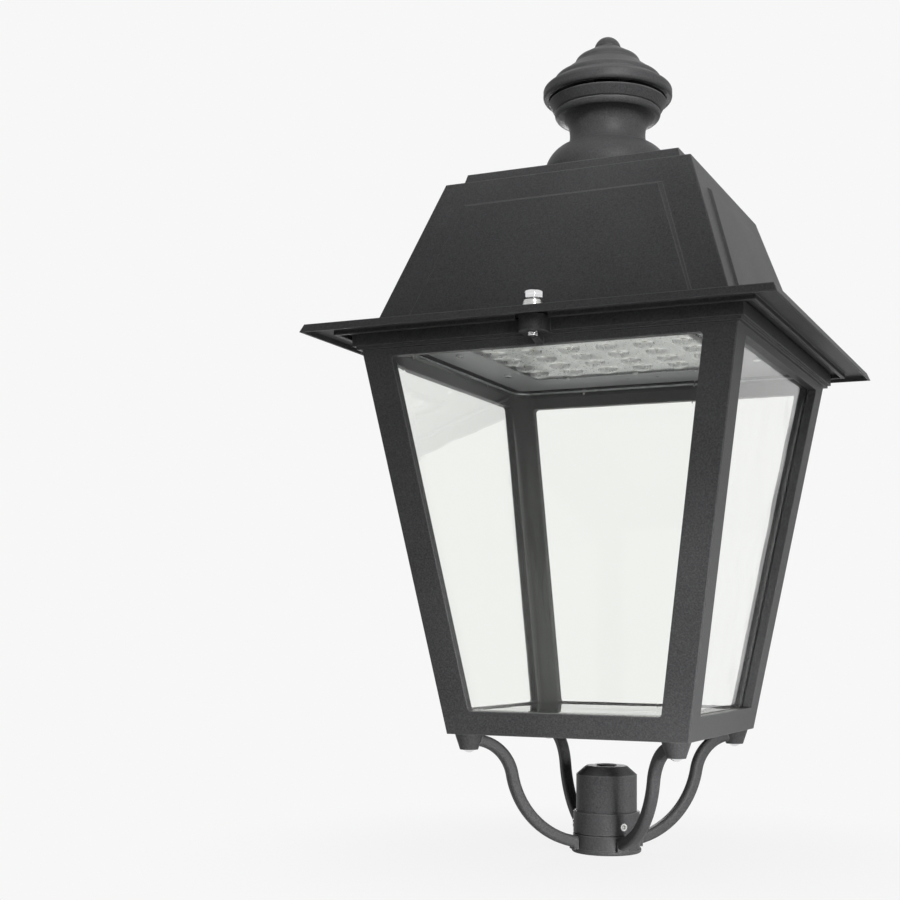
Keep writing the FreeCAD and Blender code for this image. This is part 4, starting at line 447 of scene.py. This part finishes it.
def apply_modifier(piece, kind, **settings):
    bpy.ops.object.mode_set(mode="OBJECT")
    modifier = piece.modifiers.new(kind.lower(), kind)
    for name, value in settings.items():
        setattr(modifier, name, value)
    bpy.context.view_layer.objects.active = piece
    bpy.ops.object.modifier_apply(modifier=modifier.name)


def carve(piece, tool, operation):
    """Boolean with a tool object, which is removed afterwards."""
    apply_modifier(piece, "BOOLEAN", object=tool, operation=operation, solver="EXACT")
    bpy.data.objects.remove(tool)


def hand_over(piece, body, finish, slot_name, *replaced):
    """Put the piece's place into its mesh, give it its finish and body, and hide what it stands for."""
    clear_selection()
    piece.select_set(True)
    bpy.context.view_layer.objects.active = piece
    bpy.ops.object.transform_apply(location=True, rotation=True, scale=True)
    bpy.ops.object.shade_smooth_by_angle(angle=math.radians(32))
    piece.data.materials.clear()
    piece.data.materials.append(finish)
    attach(piece, body)
    if replaced:
        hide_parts(*replaced)
    print(piece.name, "rides on", body, "with", len(piece.data.polygons), "faces")


# %% [markdown]
# ### A turned shape
#
# Turned pieces start as a profile: a plane is merged to one point, the point is extruded along the profile, and
# the profile is spun round the upright axis. The spin leaves a seam and can turn faces inwards, so doubles are
# merged and the normals are recalculated at the end.

# %% Profile and spin
def trace_profile(name, centre, steps):
    """A chain of edges in the XZ plane from (radius, height) corners, relative to centre."""
    clear_selection()
    bpy.ops.mesh.primitive_plane_add(size=0.001, location=centre)
    profile = name_new(name)
    bpy.ops.object.mode_set(mode="EDIT")
    bpy.ops.mesh.merge(type="CENTER")
    bpy.ops.transform.translate(value=(steps[0][0], 0, steps[0][1]))
    here = Vector((steps[0][0], 0, steps[0][1]))
    for radius, height in steps[1:]:
        there = Vector((radius, 0, height))
        bpy.ops.mesh.extrude_region_move(TRANSFORM_OT_translate={"value": there - here})
        here = there
    return profile


def turned(name, centre, steps, sides=48):
    piece = trace_profile(name, centre, steps)
    bpy.ops.mesh.select_all(action="SELECT")
    bpy.ops.mesh.spin(steps=sides, angle=math.tau, center=centre, axis=(0, 0, 1))
    bpy.ops.mesh.select_all(action="SELECT")
    bpy.ops.mesh.remove_doubles(threshold=0.000005)
    bpy.ops.mesh.normals_make_consistent(inside=False)
    bpy.ops.object.mode_set(mode="OBJECT")
    return piece


# %% [markdown]
# ### A chamfered hexagon
#
# The corners of a bolt's head are cut back by a shallow cone. A cylinder with six sides is the bar, and what it
# shares with a turned disc that has a sloping rim is the head, as on the lathe.

# %% Chamfered hexagon
def hexagon_bar(name, centre, corner_radius, low, high, top_radius, bottom_radius, slope):
    """A hexagon between two heights, chamfered to a smaller radius at its top and bottom."""
    clear_selection()
    middle = (centre[0], centre[1], (low + high) / 2)
    bpy.ops.mesh.primitive_cylinder_add(vertices=6, radius=corner_radius, depth=high - low, location=middle,
                                        rotation=(0, 0, math.radians(30)))
    bar = name_new(name)
    rim = corner_radius + 0.0005
    disc = turned(name + "_chamfer", (centre[0], centre[1], 0), [
        (0, high), (top_radius, high), (rim, high - (rim - top_radius) * slope),
        (rim, low + (rim - bottom_radius) * slope), (bottom_radius, low), (0, low)], sides=72)
    clear_selection()
    bpy.context.view_layer.objects.active = bar
    carve(bar, disc, "INTERSECT")
    return bar


# %% [markdown]
# ### The closing bolt
#
# One bolt holds the roof down. It has a hexagon head with a screwdriver slot, a washer face under the head, and
# a thread of 1.5 mm pitch. The thread is one tooth of profile wound up by the Screw modifier, cut off square
# below the head and at the tip with two bisects that also close the ends.

# %% Threaded shank
BOLT_AXIS = (0.0, -0.219)
THREAD_PITCH = 0.0015
THREAD_TOP_RADIUS = 0.005
THREAD_ROOT_RADIUS = 0.0041


def threaded_shank(name, axis, low, high):
    start = low - THREAD_PITCH
    turns = math.ceil((high - start) / THREAD_PITCH) + 1
    tooth = trace_profile(name, (axis[0], axis[1], start), [
        (THREAD_ROOT_RADIUS, 0), (THREAD_TOP_RADIUS, THREAD_PITCH * 0.42),
        (THREAD_TOP_RADIUS, THREAD_PITCH * 0.58), (THREAD_ROOT_RADIUS, THREAD_PITCH)])
    apply_modifier(tooth, "SCREW", angle=math.tau, screw_offset=THREAD_PITCH, iterations=turns, steps=32,
                   render_steps=32, use_merge_vertices=True, merge_threshold=0.00001)
    bpy.ops.object.mode_set(mode="EDIT")
    bpy.ops.mesh.select_all(action="SELECT")
    bpy.ops.mesh.remove_doubles(threshold=0.00001)
    for height, keep_above in ((low, True), (high, False)):
        bpy.ops.mesh.select_all(action="SELECT")
        bpy.ops.mesh.bisect(plane_co=(axis[0], axis[1], height), plane_no=(0, 0, 1), use_fill=True,
                            clear_inner=keep_above, clear_outer=not keep_above)
    bpy.ops.mesh.select_all(action="SELECT")
    bpy.ops.mesh.normals_make_consistent(inside=False)
    bpy.ops.object.mode_set(mode="OBJECT")
    return tooth


# %% Bolt head with its slot
HEAD_LOW, HEAD_HIGH = 0.5657, 0.5735
HEAD_CORNER = 0.0098
HEAD_TOP_RADIUS = 0.0083
CHAMFER_SLOPE = 0.55
FACE_HEIGHT, FACE_RADIUS, FACE_EDGE = 0.0008, 0.0081, 0.0003
SLOT_HEADING = math.radians(-52)
SLOT_WIDTH, SLOT_DEPTH = 0.0018, 0.0026
BOLT_TIP = 0.5287
head = hexagon_bar("lid_bolt", BOLT_AXIS, HEAD_CORNER, HEAD_LOW + 0.0006, HEAD_HIGH, HEAD_TOP_RADIUS,
                   HEAD_CORNER, CHAMFER_SLOPE)
clear_selection()
bpy.ops.mesh.primitive_cube_add(size=1, location=(BOLT_AXIS[0], BOLT_AXIS[1], HEAD_HIGH))
slot_tool = name_new("lid_bolt_slot")
slot_tool.scale = (SLOT_WIDTH, 3 * HEAD_CORNER, 2 * SLOT_DEPTH)
slot_tool.rotation_euler = (0, 0, SLOT_HEADING)
bpy.context.view_layer.update()
bpy.context.view_layer.objects.active = head
carve(head, slot_tool, "DIFFERENCE")
washer_face = turned("lid_bolt_face", (BOLT_AXIS[0], BOLT_AXIS[1], 0), [
    (0, HEAD_LOW + FACE_HEIGHT), (FACE_RADIUS, HEAD_LOW + FACE_HEIGHT), (FACE_RADIUS, HEAD_LOW + 0.0001),
    (FACE_RADIUS - FACE_EDGE, HEAD_LOW), (0, HEAD_LOW)])
bolt_shank = threaded_shank("lid_bolt_thread", BOLT_AXIS, BOLT_TIP, HEAD_LOW + 0.0004)
clear_selection()
for part in (head, washer_face, bolt_shank):
    part.select_set(True)
bpy.context.view_layer.objects.active = head
bpy.ops.object.join()
hand_over(head, "closing_bolt", bright_steel, "stainless", "closing_bolt")

# %% [markdown]
# ## The studio
#
# The background is white and the light is soft: a large key lamp in front on the right, weaker ones at both
# sides, above and behind, and two narrow beams that pick out the socket and the finial. No lamp shows through
# the bowl. The world is white where it is looked at or mirrored, and gives only a little light of its own. The
# floor is a wide plane. Near the lantern it takes a faint shadow, and further out it fades into the white of
# the world, so that no horizon shows. Seen from below, the floor is clear, so that the underside can be seen.

# %% World
BACKGROUND = tone(247, 247, 247)
world = bpy.data.worlds.new("pale_studio")
world.use_nodes = True
bpy.context.scene.world = world
tree = world.node_tree
seen = tree.nodes["Background"]
seen.inputs["Color"].default_value = BACKGROUND
seen.inputs["Strength"].default_value = 1.0
AMBIENT_STRENGTH = 0.04
ambient = place_node(tree, "ShaderNodeBackground", Color=(1, 1, 1, 1), Strength=AMBIENT_STRENGTH)


def looks_at_background(tree):
    """1 where a camera, mirror or glass ray looks, 0 for the light itself."""
    path = place_node(tree, "ShaderNodeLightPath")
    level = path.outputs["Is Camera Ray"]
    for name in ("Is Glossy Ray", "Is Transmission Ray"):
        larger = place_node(tree, "ShaderNodeMath", {"operation": "MAXIMUM"})
        wire(tree, level, larger.inputs[0])
        wire(tree, path.outputs[name], larger.inputs[1])
        level = larger.outputs[0]
    return level


choice = place_node(tree, "ShaderNodeMixShader")
wire(tree, looks_at_background(tree), choice.inputs[0])
wire(tree, ambient.outputs[0], choice.inputs[1])
wire(tree, seen.outputs[0], choice.inputs[2])
wire(tree, choice.outputs[0], tree.nodes["World Output"].inputs["Surface"])

# %% Floor
clear_selection()
bpy.ops.mesh.primitive_plane_add(size=60, location=(0, 0, -0.0002))
floor = name_new("studio_floor")
floor_finish, tree, shader = new_finish("studio_floor", Roughness=0.9)
shader.inputs["Specular IOR Level"].default_value = 0.0
shader.inputs["Base Color"].default_value = tone(240, 240, 240)
place = place_node(tree, "ShaderNodeTexCoord")
reach = place_node(tree, "ShaderNodeVectorMath", {"operation": "LENGTH"})
wire(tree, place.outputs["Object"], reach.inputs[0])
far_share = place_node(tree, "ShaderNodeMapRange", {"interpolation_type": "SMOOTHSTEP"}, From_Min=0.05,
                       From_Max=0.5, To_Min=0.92, To_Max=1.0)
wire(tree, reach.outputs["Value"], far_share.inputs["Value"])
far_seen = place_node(tree, "ShaderNodeMath", {"operation": "MULTIPLY"})
wire(tree, far_share.outputs["Result"], far_seen.inputs[0])
wire(tree, looks_at_background(tree), far_seen.inputs[1])
glow = place_node(tree, "ShaderNodeEmission", Color=BACKGROUND, Strength=1.0)
fade = place_node(tree, "ShaderNodeMixShader")
wire(tree, far_seen.outputs[0], fade.inputs[0])
wire(tree, shader.outputs[0], fade.inputs[1])
wire(tree, glow.outputs[0], fade.inputs[2])
clear = place_node(tree, "ShaderNodeBsdfTransparent")
side = place_node(tree, "ShaderNodeNewGeometry")
one_sided = place_node(tree, "ShaderNodeMixShader")
wire(tree, side.outputs["Backfacing"], one_sided.inputs[0])
wire(tree, fade.outputs[0], one_sided.inputs[1])
wire(tree, clear.outputs[0], one_sided.inputs[2])
wire(tree, one_sided.outputs[0], tree.nodes["Material Output"].inputs["Surface"])
floor.data.materials.append(floor_finish)

# %% Lamps
# name: (place, target, power in watts, side of its square in metres, width of its beam in degrees)
MIDDLE = Vector((0, 0, 0.45))
LAMPS = {
    "key_lamp_front": ((1.35, -2.1, 1.05), MIDDLE, 20, 0.8, 180),
    "side_lamp_right": ((2.5, 0.1, 0.25), MIDDLE, 8, 1.2, 180),
    "fill_lamp_left": ((-2.2, -1.6, 0.9), MIDDLE, 2, 1.6, 180),
    "top_lamp": ((0.0, -0.3, 2.7), MIDDLE, 3, 2.0, 180),
    "rear_lamp": ((-1.0, 2.3, 0.9), MIDDLE, 30, 1.2, 180),
    "low_lamp_right": ((1.14, -1.0, 0.1), Vector((0, 0, 0.03)), 2.3, 0.3, 40),
    "finial_lamp": ((0.9, -1.2, 1.5), Vector((0, 0, 0.9)), 1.1, 0.3, 30)}
for lamp_name, (spot, target, power, size, beam) in LAMPS.items():
    bpy.ops.object.light_add(type="AREA", location=spot)
    lamp = bpy.context.object
    lamp.name = lamp_name
    lamp.data.energy = power
    lamp.data.size = size
    lamp.data.spread = math.radians(beam)
    lamp.visible_transmission = False
    lamp.rotation_euler = (target - Vector(spot)).to_track_quat("-Z", "Y").to_euler()
print("lamps:", ", ".join(LAMPS))

# %% Colour management
bpy.context.scene.view_settings.view_transform = "Standard"
